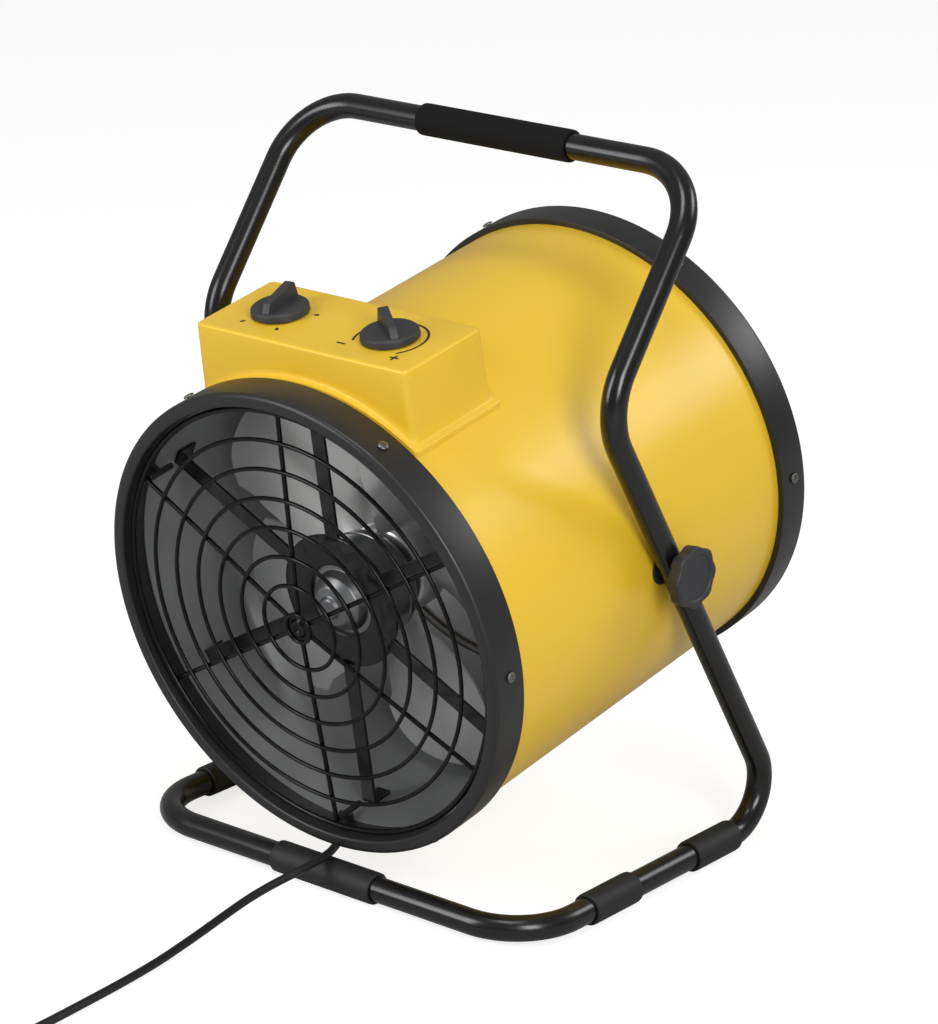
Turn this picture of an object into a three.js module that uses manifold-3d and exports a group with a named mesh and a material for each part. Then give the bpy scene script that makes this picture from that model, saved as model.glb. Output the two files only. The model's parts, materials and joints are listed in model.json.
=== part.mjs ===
// A forced air heater: a drum with a fan and tubular heating elements, hung between the legs of a tube stand.
// Millimetres, +Z up. The origin is on the floor, under the middle of the heater without its cord.
// The intake end, with the fan and the controls, faces -Y. The outlet end faces +Y.
import * as THREE from "three";
import { mergeVertices } from "three/addons/utils/BufferGeometryUtils.js";
import Module from "manifold-3d";

const wasm = await Module();
wasm.setup();

// ---------------------------------------------------------------- fits
const CLEAR = 0.3; // gap between pieces that touch
const RUNNING = 0.4; // gap round a pin that turns in its hole

// ---------------------------------------------------------------- drum
const TILT = 10; // degrees that the outlet end stands up at rest
const AXIS_LIFT = 2.7; // drum axis above the pivot
const INTAKE_REACH = 196.3; // pivot to the front face of the intake ring
const OUTLET_REACH = 174.2; // pivot to the front face of the outlet ring
const SHELL_RADIUS = 175.2;
const SHELL_WALL = 1;
const ROUND_STEPS = 36; // facets of the drum's round pieces
const RING_WALL = 4.5; // ring outside the shell
const RING_LIP = 10.5; // face of a ring, from its edge inwards
const RING_WIDTH = 30;
const RING_NOSE = 8; // thickness of the lip in front of the shell's end
const RING_ROUNDING = 3.5;
const SKIRT_WALL = 2; // the ring's inner skirt
const SKIRT_DEPTH = 26;
const DUCT_WALL = 0.8;
const DUCT_SETBACK = 22.5; // ring face to the duct's end
const RING_FACE_WALL = 3; // the lip's face, in front of the groove round the shell
const LUG_THICK = 3; // lugs in the ring that carry the posts behind the guard
const LUG_WIDTH = 12;
const POST_RADIUS = 2.4;
const POST_LENGTH = 24;
const POSTS = 3;
const RING_SCREWS = 6;
const SCREW_INSET = 16; // ring face to the screws
const SCREW_RADIUS = 1.8;
const SCREW_HEAD_RADIUS = 4;
const SCREW_HEAD_RISE = 2.2;
const SCREW_TIP_GAP = 0.8; // screw tip to the inner skirt

const ringRadius = SHELL_RADIUS + CLEAR + RING_WALL;
const lipRadius = ringRadius - RING_LIP;
const ductOuter = lipRadius - CLEAR;
const ductRadius = ductOuter - DUCT_WALL;
const facetFlat = Math.cos(Math.PI / ROUND_STEPS); // inner reach of a faceted circle, by its radius

// ---------------------------------------------------------------- wire guards
const GUARD_SPOKES = 6;
const GUARD_PITCH = 22; // from circle to circle
const GUARD_FIRST = 11; // radius of the smallest circle
const GUARD_RISE = 8.7; // height of the shallow cone
const GUARD_WIRE = 1.6; // radius
const GUARD_SPOKE = 1.8;
const GUARD_RIM = 2.2;
const GUARD_EDGE_GAP = 1.7; // rim wire to the ring
const GUARD_SETBACK = 8; // ring face to the rim wire's middle
const GUARD_WELD = 0.8; // how far a crossing wire and spoke sink into each other
const HUB_DISH = 2.6; // depth of the dished middle
const HUB_SHEET = 1.6;

const rimRadius = lipRadius - GUARD_EDGE_GAP - GUARD_RIM;
// Depth behind the ring face of the spokes' back, at the rim.
const guardBack = GUARD_SETBACK + GUARD_WIRE - GUARD_WELD + 2 * GUARD_SPOKE;

// ---------------------------------------------------------------- motor, fan and heating elements
const BRACKET_SETBACK = 47.3; // ring face to the motor bracket
const BRACKET_SHEET = 2.5;
const BRACKET_ARM = 12;
const BRACKET_ARMS = 6;
const BRACKET_HOLE = 28;
const BRACKET_PLATE = 52;
const FOOT_LENGTH = 18;
const MOTOR_RADIUS = 40;
const MOTOR_LENGTH = 42;
const MOTOR_NOSE_RADIUS = 25; // end bell that shows through the bracket
const MOTOR_NOSE = 13;
const MOTOR_BOSS_RADIUS = 15;
const MOTOR_BOSS = 6;
const SHAFT_RADIUS = 5;
const SHAFT_IN_MOTOR = 24;
const FAN_PLACE = 22; // motor face to the middle of the fan
const FAN_BLADES = 5;
const FAN_TURN = -11; // the blades at rest, degrees towards +X
const FAN_TIP_GAP = 8; // blade tip to duct
const HUB_RADIUS = 36;
const HUB_LENGTH = 30;
const BLADE_SHEET = 2;
const BLADE_SWEEP = 68; // degrees of the circle that each blade covers
const BLADE_ROOT_PITCH = 34; // axial height of the blade at the hub and at the tip
const BLADE_TIP_PITCH = 26;
const FAN_NUT_RADIUS = 9;
const FAN_NUT_LENGTH = 9;
const ELEMENT_PLACES = [12, 38, 64]; // along the drum from the pivot
const ELEMENT_RADII = [126, 98, 126];
const ELEMENT_TUBE = 4.2; // radius
const ELEMENT_LEG = 22; // half distance between an element's two legs
const ELEMENT_BEND = 16;
const SUPPORT_SHEET = 2;
const SUPPORT_STRIP = 14;
const SUPPORT_TONGUE = 18;
const SUPPORT_TIP = 10; // tongue past the tube's middle
const SUPPORT_TURNS = [90, 180, 270]; // degrees round the drum from the top
const CUTOUT_TURN = 45;
const CUTOUT_PLACE = 88;
const CUTOUT_RADIUS = 8.5;
const CUTOUT_RISE = 9;

// ---------------------------------------------------------------- control box
const BOX_RISE = 27.2; // top above the drum's crown
const BOX_RING_GAP = 3.6; // between the intake ring and the flange
const BOX_TOP = [96.3, 40.2]; // half sizes across and along
const BOX_DRAFT = 3; // growth of each side down to the foot
const BOX_FOOT_DROP = 58; // top to the lowest foot edge, at the corners
const BOX_WALL = 1.6;
const BOX_CORNER = 8;
const BOX_EDGE = 3;
const FLANGE_WIDTH = 4;
const FLANGE_THICK = 3;
const KNOB_HALF_PITCH = 51; // each knob from the middle of the box
const KNOB_SHIFT = -1.5; // both knobs from the middle of the box, along the drum
const KNOB_RADIUS = 20.5;
const KNOB_DISC = 6;
const KNOB_STANDOFF = 1;
const KNOB_GRIP_WIDTH = 8.5;
const KNOB_GRIP_HIGH = 11;
const KNOB_GRIP_LOW = 3;
const STEM_RADIUS = 3.5;
const STEM_HOLE_GAP = 0.7;
const SELECTOR_TURN = 10; // low end of the grip, degrees from the front towards +X
const THERMOSTAT_TURN = 52;
const SWITCH_SIZE = [34, 34, 20];
const THERMOSTAT_SIZE = [38, 30, 16];
const TERMINAL_SIZE = [18, 48, 15];
const TERMINAL_WAYS = 5;
const WIRE_HOLE = 9;
const WIRE_HOLE_SHIFT = [26, 19.5]; // from the middle of the box, across and along the drum

// ---------------------------------------------------------------- stand
const TUBE_RADIUS = 9.5;
const TUBE_WALL = 1.5;
const TUBE_SIDES = 10;
const BORE_SIDES = 6;
const SLEEVE_REACH = 12; // middle of the tube to a flat of the sleeve
const SLEEVE_SIDES = 12;
const RING_SWING_GAP = 5.8; // the intake ring's lower corner to the front sleeve, as the drum tilts
const REAR_CORNER = 140.7; // the places of the bends are measured from the pivot, along Y
const WAIST = [-83.8, 365]; // bend between leg and handle upright: along Y, and above the floor bars
const HANDLE = [28.4, 516.2];
const CORNER_BEND = 52;
const HEEL_BEND = 36;
const WAIST_BEND = 50;
const HANDLE_BEND = 52;
const GRIP_LENGTH = 138;
const FRONT_SLEEVE_LENGTH = 95;
const FOOT_SLEEVE_LENGTH = 52;
const FOOT_SLEEVE_PLACES = [-72, 50];
const JOINER_LENGTH = 70;
const JOINER_WALL = 1.5;

// ---------------------------------------------------------------- pivots
const WASHER_THICK = 1;
const WASHER_RADIUS = 14;
const BOLT_RADIUS = 4;
const BOLT_HEAD_RADIUS = 9;
const BOLT_HEAD = 2.4;
const BOLT_HEAD_GAP = 1.4;
const CLAMP_RADIUS = 22.6;
const CLAMP_LOBE = 0.9;
const CLAMP_LOBES = 8;
const CLAMP_THICK = 10.8;
const CLAMP_ROUNDING = 2;
const CLAMP_DIMPLE = 18; // radius of the shallow round recess
const CLAMP_DIMPLE_DEPTH = 1.2;
const CLAMP_FLOOR = 3; // outer wall over the bolt's end

const boxTop = SHELL_RADIUS + BOX_RISE;
const boxHalf = BOX_TOP[1] + BOX_DRAFT + FLANGE_WIDTH; // along the drum, flange included
const boxPlace = RING_WIDTH + BOX_RING_GAP + boxHalf - INTAKE_REACH;
const knobPlace = boxPlace + KNOB_SHIFT;

const standHalf = SHELL_RADIUS + CLEAR + WASHER_THICK + CLEAR + TUBE_RADIUS;
const pivotRise = (WAIST[1] * REAR_CORNER) / (REAR_CORNER - WAIST[0]); // the legs run through the pivot
const ringSwing = Math.hypot(INTAKE_REACH, ringRadius - AXIS_LIFT); // pivot to the intake ring's lower corner
const frontBar = -Math.sqrt((ringSwing + RING_SWING_GAP + SLEEVE_REACH) ** 2 - pivotRise ** 2);
const tilt = THREE.MathUtils.degToRad(TILT);
const pivotY = ((INTAKE_REACH - OUTLET_REACH) / 2) * Math.cos(tilt) + AXIS_LIFT * Math.sin(tilt);

// ---------------------------------------------------------------- cord
const CORD_RADIUS = 3.1;
const CORD_SIDES = 8;
const CORD_REST = 3.3; // middle of the cord above the floor
const GLAND_PLACE = -40; // along the drum from the pivot
const GLAND_TURN = 25; // degrees from the bottom of the drum towards -X
const GLAND_NUT_RADIUS = 10;
const GLAND_NUT = 6;
const GLAND_SPIGOT = 6;
const GLAND_TAPER = 21;
const GLAND_TIP_RADIUS = 4.6;
const COIL_CENTRE = [52.9, -527];
const COIL_INNER = 28.5;
const COIL_PITCH = 6.7; // from turn to turn, and from layer to layer
const COIL_TURNS = 5.25;
const COIL_STEPS = 24; // a turn
const COIL_SIDES = 6;
const COIL_END_RISE = 3; // lift of the last eighth of a turn, up to the plug
const PLUG_HALF_HEIGHT = 13;
const PLUG_FACE_RADIUS = 17;
const PLUG_BODY = 22;
const PLUG_NECK = 26;
const PLUG_NECK_RADIUS = 3.9;
const PLUG_PIN_RADIUS = 2.4;
const PLUG_PIN_LENGTH = 19;
const PLUG_PIN_PITCH = 19;

// The cord's middle line from the gland to the coil, chosen by hand.
const CORD_POINTS = [
  [-85.5, 3.4, 55.6],
  [-88.6, 4.6, 49.2],
  [-91.5, 5.2, 43.0],
  [-94.2, 4.0, 35.0],
  [-95.4, 0.2, 27.0],
  [-94.8, -6.5, 19.4],
  [-92.0, -15.5, 13.0],
  [-87.0, -26.5, 8.2],
  [-79.6, -39.5, 5.0],
  [-70.0, -54.0, 4.0],
  [-59.0, -69.0, 4.6],
  [-47.6, -84.0, 7.0],
  [-36.2, -99.0, 11.2],
  [-25.0, -113.5, 16.6],
  [-14.6, -127.0, 21.8],
  [-5.6, -140.0, 25.8],
  [1.2, -154.0, 27.6],
  [3.0, -168.6, 26.9],
  [2.0, -183.6, 25.0],
  [-1.5, -198.6, 22.2],
  [-4.8, -213.6, 19.2],
  [-7.0, -228.6, 16.2],
  [-8.0, -243.6, 13.2],
  [-8.2, -261.6, 9.9],
  [-7.6, -281.6, 6.8],
  [-6.0, -303.6, 4.6],
  [-3.0, -328.6, 3.5],
  [0.8, -364.6, 3.3],
  [3.5, -403.6, 3.3],
  [5.6, -445.0, 3.3],
  [6.6, -490.0, 3.3],
];

// ---------------------------------------------------------------- materials
const finish = (color, roughness, metalness) => new THREE.MeshStandardMaterial({ color, roughness, metalness });
const YELLOW_PAINT = finish(0xe3ae22, 0.42, 0.0);
const BLACK_PAINT = finish(0x2b2c2e, 0.4, 0.2);
const BLACK_PLASTIC = finish(0x303133, 0.5, 0.0);
const BLACK_RUBBER = finish(0x1c1c1d, 0.85, 0.0);
const GREY_SHEET = finish(0x8d9092, 0.45, 0.8);
const BRIGHT_STEEL = finish(0xb9bcbe, 0.3, 1.0);
const CREAM_PLASTIC = finish(0xd8d2bd, 0.5, 0.0);

// ---------------------------------------------------------------- solids
const v2 = (x, y) => new THREE.Vector2(x, y);
const v3 = (x, y, z) => new THREE.Vector3(x, y, z);
const turn = THREE.MathUtils.degToRad;

function solidOf(geometry) {
  const bare = geometry.index ? geometry.toNonIndexed() : geometry.clone();
  bare.deleteAttribute("normal");
  bare.deleteAttribute("uv");
  const merged = mergeVertices(bare, 1e-3);
  const triVerts = new Uint32Array(merged.index.array);
  const vertProperties = merged.attributes.position.array;
  return new wasm.Manifold(new wasm.Mesh({ numProp: 3, vertProperties, triVerts }));
}

function geometryOf(solid) {
  const { vertProperties, triVerts } = solid.getMesh();
  const geometry = new THREE.BufferGeometry();
  geometry.setAttribute("position", new THREE.BufferAttribute(vertProperties, 3));
  geometry.setIndex(new THREE.BufferAttribute(triVerts, 1));
  return geometry;
}

function joined(...geometries) {
  return geometryOf(geometries.map(solidOf).reduce((whole, piece) => whole.add(piece)));
}

function cut(geometry, ...tools) {
  return geometryOf(tools.map(solidOf).reduce((whole, tool) => whole.subtract(tool), solidOf(geometry)));
}

function common(a, b) {
  return geometryOf(solidOf(a).intersect(solidOf(b)));
}

function placed(geometry, position, rotation = [0, 0, 0]) {
  const spot = new THREE.Object3D();
  spot.position.set(...position);
  spot.rotation.set(...rotation.map(turn));
  spot.updateMatrix();
  return geometry.clone().applyMatrix4(spot.matrix);
}

// A cylinder between two heights on the Z axis.
function roundBar(radius, low, high, sides = 16) {
  const bar = new THREE.CylinderGeometry(radius, radius, high - low, sides);
  return placed(bar, [0, 0, (low + high) / 2], [90, 0, 0]);
}

function block(sizes, centre) {
  return placed(new THREE.BoxGeometry(...sizes), centre);
}

// A closed profile of [radius, height] points, turned round the Y axis, which is the drum's.
function revolve(profile, steps = ROUND_STEPS) {
  const points = profile.map(([radius, height]) => v2(radius, height));
  if (profile[0][0] > 0) points.push(points[0].clone());
  return new THREE.LatheGeometry(points, steps);
}

// The same, round the Z axis.
const revolveUpright = (profile, steps) => placed(revolve(profile, steps), [0, 0, 0], [90, 0, 0]);

// Points on an arc, angles in degrees from the first axis towards the second.
function arc(centre, radius, from, to, steps) {
  return Array.from({ length: steps + 1 }, (_, i) => {
    const angle = turn(from + ((to - from) * i) / steps);
    return [centre[0] + radius * Math.cos(angle), centre[1] + radius * Math.sin(angle)];
  });
}

// A regular outline with a flat towards -Y, given by the reach of its flats.
function flatSided(reach, sides) {
  const radius = reach / Math.cos(Math.PI / sides);
  return Array.from({ length: sides }, (_, i) => {
    const angle = (2 * Math.PI * (i + 0.5)) / sides - Math.PI / 2;
    return v2(radius * Math.cos(angle), radius * Math.sin(angle));
  });
}

const polygon = (radius, sides) => flatSided(radius * Math.cos(Math.PI / sides), sides);

function shapeOf(points, ...holes) {
  const shape = new THREE.Shape(points);
  shape.holes = holes.map((hole) => new THREE.Path(hole));
  return shape;
}

const plate = (shape, depth) => new THREE.ExtrudeGeometry(shape, { depth, bevelEnabled: false });

// A route through given stations, each of which becomes one section of the tube along it.
class StationRoute extends THREE.Curve {
  constructor(stations) {
    super();
    this.stations = stations;
  }

  getPointAt(u) {
    return this.stations[Math.round(u * (this.stations.length - 1))].clone();
  }

  getTangentAt(u) {
    const last = this.stations.length - 1;
    const here = Math.round(u * last);
    const way = v3(0, 0, 0);
    if (here > 0) way.add(this.stations[here].clone().sub(this.stations[here - 1]).normalize());
    if (here < last) way.add(this.stations[here + 1].clone().sub(this.stations[here]).normalize());
    return way.normalize();
  }
}

function tubeAlong(stations, shape) {
  const extrudePath = new StationRoute(stations);
  return new THREE.ExtrudeGeometry(shape, { steps: stations.length - 1, extrudePath, bevelEnabled: false });
}

// Stations of a route with straight runs between corners and an arc of a given radius at each corner.
function bentRoute(corners, bends, degreesPerStep = 23) {
  const stations = [corners[0]];
  bends.forEach((radius, i) => {
    const corner = corners[i + 1];
    const back = corners[i].clone().sub(corner).normalize();
    const ahead = corners[i + 2].clone().sub(corner).normalize();
    const half = back.angleTo(ahead) / 2;
    const sweep = Math.PI - 2 * half;
    const bisector = back.clone().add(ahead).normalize();
    const centre = corner.clone().addScaledVector(bisector, radius / Math.sin(half));
    const from = corner.clone().addScaledVector(back, radius / Math.tan(half)).sub(centre);
    const pole = from.clone().cross(back).normalize();
    const steps = Math.ceil(THREE.MathUtils.radToDeg(sweep) / degreesPerStep);
    for (let k = 0; k <= steps; k++) {
      const spot = from.clone().applyAxisAngle(pole, (-sweep * k) / steps);
      stations.push(centre.clone().add(spot));
    }
  });
  stations.push(corners[corners.length - 1]);
  return stations;
}

// A closed skin over stacked outlines, each a list of 3-D points and all of one length.
function loft(outlines) {
  const count = outlines[0].length;
  const points = outlines.flat();
  const index = [];
  for (let level = 0; level < outlines.length - 1; level++) {
    for (let i = 0; i < count; i++) {
      const a = level * count + i;
      const b = level * count + ((i + 1) % count);
      index.push(a, b, a + count, b, b + count, a + count);
    }
  }
  const top = (outlines.length - 1) * count;
  for (let i = 1; i < count - 1; i++) index.push(0, i + 1, i, top, top + i, top + i + 1);
  return new THREE.BufferGeometry().setFromPoints(points).setIndex(index);
}

// A rectangle with round corners, counter-clockwise, at one height.
function roundedOutline(halfX, halfY, radius, height, centreY = 0, steps = 2) {
  const corner = (x, y, from) => arc([x, y], radius, from, from + 90, steps);
  const flat = [
    ...corner(halfX - radius, halfY - radius, 0),
    ...corner(radius - halfX, halfY - radius, 90),
    ...corner(radius - halfX, radius - halfY, 180),
    ...corner(halfX - radius, radius - halfY, 270),
  ];
  return flat.map(([x, y]) => v3(x, y + centreY, height));
}

function piece(name, geometry, material) {
  const mesh = new THREE.Mesh(geometry, material);
  mesh.name = name;
  return mesh;
}

function groupOf(children, position = [0, 0, 0], rotation = [0, 0, 0]) {
  const group = new THREE.Group();
  group.position.set(...position);
  group.rotation.set(...rotation.map(turn));
  group.add(...children);
  return group;
}

// ---------------------------------------------------------------- drum casing
// Turns round the drum are in degrees from its top towards +X.
const roundDrum = (geometry, degrees) => placed(geometry, [0, 0, 0], [0, degrees, 0]);

const screwTurns = Array.from({ length: RING_SCREWS }, (_, i) => ((i + 0.5) * 360) / RING_SCREWS);

// One hole for each ring screw, at a place along the drum.
function screwHoles(along) {
  const hole = roundBar(SCREW_RADIUS + CLEAR, SHELL_RADIUS - 2 * SHELL_WALL, ringRadius + 1, 6);
  return screwTurns.map((degrees) => roundDrum(placed(hole, [0, along, 0]), degrees));
}

function drumShell() {
  const inner = SHELL_RADIUS - SHELL_WALL;
  const near = RING_NOSE + CLEAR - INTAKE_REACH;
  const far = OUTLET_REACH - RING_NOSE - CLEAR;
  const tube = revolve([[inner, near], [SHELL_RADIUS, near], [SHELL_RADIUS, far], [inner, far]]);
  const through = 2 * SHELL_RADIUS + 2;
  const pivotHole = new THREE.CylinderGeometry(BOLT_RADIUS + RUNNING, BOLT_RADIUS + RUNNING, through, 12);
  const glandHole = roundBar(GLAND_SPIGOT + CLEAR, inner - 2, SHELL_RADIUS + 2, 10);
  const wireHole = roundBar(WIRE_HOLE, inner - 8, SHELL_RADIUS + 2, 10);
  return cut(
    tube,
    placed(pivotHole, [0, 0, -AXIS_LIFT], [0, 0, 90]),
    roundDrum(placed(glandHole, [0, GLAND_PLACE, 0]), 180 + GLAND_TURN),
    placed(wireHole, [WIRE_HOLE_SHIFT[0], boxPlace + WIRE_HOLE_SHIFT[1], 0]),
    ...screwHoles(SCREW_INSET - INTAKE_REACH),
    ...screwHoles(OUTLET_REACH - SCREW_INSET),
  );
}

function innerDuct() {
  const near = DUCT_SETBACK - INTAKE_REACH;
  const far = OUTLET_REACH - DUCT_SETBACK;
  return revolve([[ductRadius, near], [ductOuter, near], [ductOuter, far], [ductRadius, far]]);
}

const postTurns = Array.from({ length: POSTS }, (_, i) => ((i + 0.5) * 360) / POSTS);

// An end ring, its face at Y 0 and its skirts towards +Y. The shell's end sits between the two skirts.
function endRing() {
  const groove = SHELL_RADIUS + CLEAR;
  const nose = Math.min(RING_FACE_WALL, RING_NOSE);
  const outer = arc([ringRadius - RING_ROUNDING, RING_ROUNDING], RING_ROUNDING, 270, 360, 2);
  const inner = arc([lipRadius + RING_ROUNDING / 2, RING_ROUNDING / 2], RING_ROUNDING / 2, 180, 270, 1);
  const profile = [
    ...inner,
    ...outer,
    [ringRadius, RING_WIDTH],
    [groove, RING_WIDTH],
    [groove, nose],
    [lipRadius + SKIRT_WALL, nose],
    [lipRadius + SKIRT_WALL, SKIRT_DEPTH],
    [lipRadius, SKIRT_DEPTH],
  ];
  const postPlace = rimRadius - POST_RADIUS;
  const lugReach = lipRadius + SKIRT_WALL / 2 - postPlace;
  const lugMiddle = DUCT_SETBACK - CLEAR - LUG_THICK / 2;
  const lug = block([LUG_WIDTH, LUG_THICK, lugReach], [0, lugMiddle, postPlace + lugReach / 2]);
  const postFront = guardBack + CLEAR;
  const bar = roundBar(POST_RADIUS, postFront, postFront + POST_LENGTH, 6);
  const post = placed(bar, [0, 0, postPlace], [-90, 0, 0]);
  const posts = postTurns.flatMap((degrees) => [roundDrum(lug, degrees), roundDrum(post, degrees)]);
  return cut(joined(revolve(profile), ...posts), ...screwHoles(SCREW_INSET));
}

// A ring screw, standing on the ring's outer face at the top of the drum.
function ringScrew() {
  const seat = ringRadius + CLEAR;
  const tip = lipRadius + SKIRT_WALL + SCREW_TIP_GAP;
  const crown = seat + SCREW_HEAD_RISE;
  const profile = [
    [0, tip],
    [SCREW_RADIUS, tip],
    [SCREW_RADIUS, seat],
    [SCREW_HEAD_RADIUS, seat],
    [SCREW_HEAD_RADIUS - 1, crown],
    [0, crown],
  ];
  return revolveUpright(profile, 6);
}

// ---------------------------------------------------------------- wire guards
// Depth behind the ring face of the guard's shallow cone at a radius.
const guardDepth = (radius) => GUARD_SETBACK - GUARD_RISE * (1 - radius / rimRadius);

// A circle of wire, turned so that every spoke crosses the middle of one of its straight steps.
function wireCircle(radius, wire, sides, grain) {
  const perSector = Math.max(2, Math.round(((1 + radius / 30) * grain)));
  const steps = GUARD_SPOKES * perSector;
  const circle = placed(new THREE.TorusGeometry(radius, wire, sides, steps), [0, 0, 0], [0, 0, 90 + 180 / steps]);
  return placed(circle, [0, guardDepth(radius), 0], [90, 0, 0]);
}

// A straight wire behind the circles, from the hub's rim to just past the rim wire.
function guardSpoke(sides) {
  const inner = GUARD_FIRST;
  const outer = rimRadius + GUARD_RIM / 2;
  const rise = guardDepth(outer) - guardDepth(inner);
  const bar = roundBar(GUARD_SPOKE, 0, Math.hypot(outer - inner, rise), sides);
  const lean = THREE.MathUtils.radToDeg(Math.atan2(rise, outer - inner));
  const depth = guardDepth(inner) + GUARD_WIRE + GUARD_SPOKE - GUARD_WELD;
  return placed(bar, [0, depth, inner], [-lean, 0, 0]);
}

// The smallest circle with the dished disc inside it.
function guardHub() {
  const depth = guardDepth(GUARD_FIRST);
  const back = depth + HUB_DISH;
  return revolve([
    [0, back - HUB_SHEET],
    [GUARD_FIRST - GUARD_WIRE, depth - HUB_SHEET / 2],
    [GUARD_FIRST, depth - GUARD_WIRE],
    [GUARD_FIRST + GUARD_WIRE, depth],
    [GUARD_FIRST + GUARD_WIRE, depth + GUARD_WIRE],
    [GUARD_FIRST - GUARD_WIRE, depth + GUARD_WIRE],
    [0, back],
  ], 12);
}

// Concentric wires on a shallow cone, welded to spokes behind them.
function wireGuard(sides, grain) {
  const count = Math.round((rimRadius - GUARD_FIRST) / GUARD_PITCH) - 1;
  const radii = Array.from({ length: count }, (_, i) => GUARD_FIRST + (i + 1) * GUARD_PITCH);
  const circles = radii.map((radius) => wireCircle(radius, GUARD_WIRE, sides, grain));
  const rim = wireCircle(rimRadius, GUARD_RIM, sides, grain);
  const spoke = guardSpoke(sides);
  const spokes = Array.from({ length: GUARD_SPOKES }, (_, i) => roundDrum(spoke, (i * 360) / GUARD_SPOKES));
  return joined(rim, ...circles, ...spokes, guardHub());
}

// ---------------------------------------------------------------- motor and fan
const bracketPlace = BRACKET_SETBACK - INTAKE_REACH;
const motorBack = bracketPlace + BRACKET_SHEET / 2 + CLEAR;
const motorFront = motorBack + MOTOR_LENGTH;
const fanMiddle = motorFront + FAN_PLACE;
const shaftEnd = fanMiddle + HUB_LENGTH / 2 + CLEAR + FAN_NUT_LENGTH + 1;

// A sheet spider: a plate round the motor, flat arms out to the duct and a foot turned along the duct at each.
function motorBracket() {
  const seat = ductRadius * facetFlat - CLEAR;
  const armLength = seat - BRACKET_PLATE + 4;
  const ring = revolve([
    [BRACKET_HOLE, -BRACKET_SHEET / 2],
    [BRACKET_PLATE, -BRACKET_SHEET / 2],
    [BRACKET_PLATE, BRACKET_SHEET / 2],
    [BRACKET_HOLE, BRACKET_SHEET / 2],
  ], 18);
  const arm = block([BRACKET_ARM, BRACKET_SHEET, armLength], [0, 0, seat - armLength / 2]);
  const footMiddle = FOOT_LENGTH / 2 - BRACKET_SHEET / 2;
  const foot = block([BRACKET_ARM, FOOT_LENGTH, BRACKET_SHEET], [0, footMiddle, seat - BRACKET_SHEET / 2]);
  const turns = Array.from({ length: BRACKET_ARMS }, (_, i) => (i * 360) / BRACKET_ARMS);
  const arms = turns.flatMap((degrees) => [roundDrum(arm, degrees), roundDrum(foot, degrees)]);
  return placed(joined(ring, ...arms), [0, bracketPlace, 0]);
}

function motor() {
  const bore = SHAFT_RADIUS + RUNNING;
  const boreEnd = motorFront - SHAFT_IN_MOTOR - CLEAR;
  const body = revolve([
    [0, motorBack - MOTOR_NOSE],
    ...arc([MOTOR_NOSE_RADIUS - 8, motorBack - MOTOR_NOSE + 8], 8, 270, 360, 2),
    [MOTOR_NOSE_RADIUS, motorBack],
    [MOTOR_RADIUS - 3, motorBack],
    [MOTOR_RADIUS, motorBack + 3],
    [MOTOR_RADIUS, motorFront - 8],
    [MOTOR_RADIUS - 6, motorFront],
    [MOTOR_BOSS_RADIUS, motorFront],
    [MOTOR_BOSS_RADIUS, motorFront + MOTOR_BOSS],
    [bore, motorFront + MOTOR_BOSS],
    [bore, boreEnd],
    [0, boreEnd],
  ], 16);
  return body;
}

function motorShaft() {
  const low = motorFront - SHAFT_IN_MOTOR;
  return revolve([[0, low], [SHAFT_RADIUS, low], [SHAFT_RADIUS, shaftEnd], [0, shaftEnd]], 12);
}

// One wide, twisted blade of even thickness, from inside the hub to the tip.
function fanBlade() {
  const alongRadius = 4;
  const across = 4;
  const root = HUB_RADIUS - 4;
  const tip = ductRadius - FAN_TIP_GAP;
  const side = (offset) => {
    const grid = [];
    for (let i = 0; i <= alongRadius; i++) {
      const share = i / alongRadius;
      const radius = THREE.MathUtils.lerp(root, tip, share);
      const height = THREE.MathUtils.lerp(BLADE_ROOT_PITCH, BLADE_TIP_PITCH, share);
      for (let j = 0; j <= across; j++) {
        const chord = j / across - 0.5;
        const round = 0.82 + 0.18 * Math.sin(Math.PI * Math.min(share * 1.15, 1));
        const angle = turn(BLADE_SWEEP * chord * round);
        const camber = 5 * (1 - 4 * chord * chord);
        grid.push(v3(radius * Math.sin(angle), height * chord - camber + offset, radius * Math.cos(angle)));
      }
    }
    return grid;
  };
  const points = [...side(-BLADE_SHEET / 2), ...side(BLADE_SHEET / 2)];
  const layer = (alongRadius + 1) * (across + 1);
  const at = (i, j, back) => i * (across + 1) + j + back * layer;
  const index = [];
  const quad = (a, b, c, d) => index.push(a, b, c, a, c, d);
  for (let i = 0; i < alongRadius; i++) {
    for (let j = 0; j < across; j++) {
      quad(at(i, j, 0), at(i, j + 1, 0), at(i + 1, j + 1, 0), at(i + 1, j, 0));
      quad(at(i, j, 1), at(i + 1, j, 1), at(i + 1, j + 1, 1), at(i, j + 1, 1));
    }
    quad(at(i, 0, 0), at(i + 1, 0, 0), at(i + 1, 0, 1), at(i, 0, 1));
    quad(at(i, across, 0), at(i, across, 1), at(i + 1, across, 1), at(i + 1, across, 0));
  }
  for (let j = 0; j < across; j++) {
    quad(at(0, j, 0), at(0, j, 1), at(0, j + 1, 1), at(0, j + 1, 0));
    quad(at(alongRadius, j, 0), at(alongRadius, j + 1, 0), at(alongRadius, j + 1, 1), at(alongRadius, j, 1));
  }
  return new THREE.BufferGeometry().setFromPoints(points).setIndex(index);
}

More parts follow.
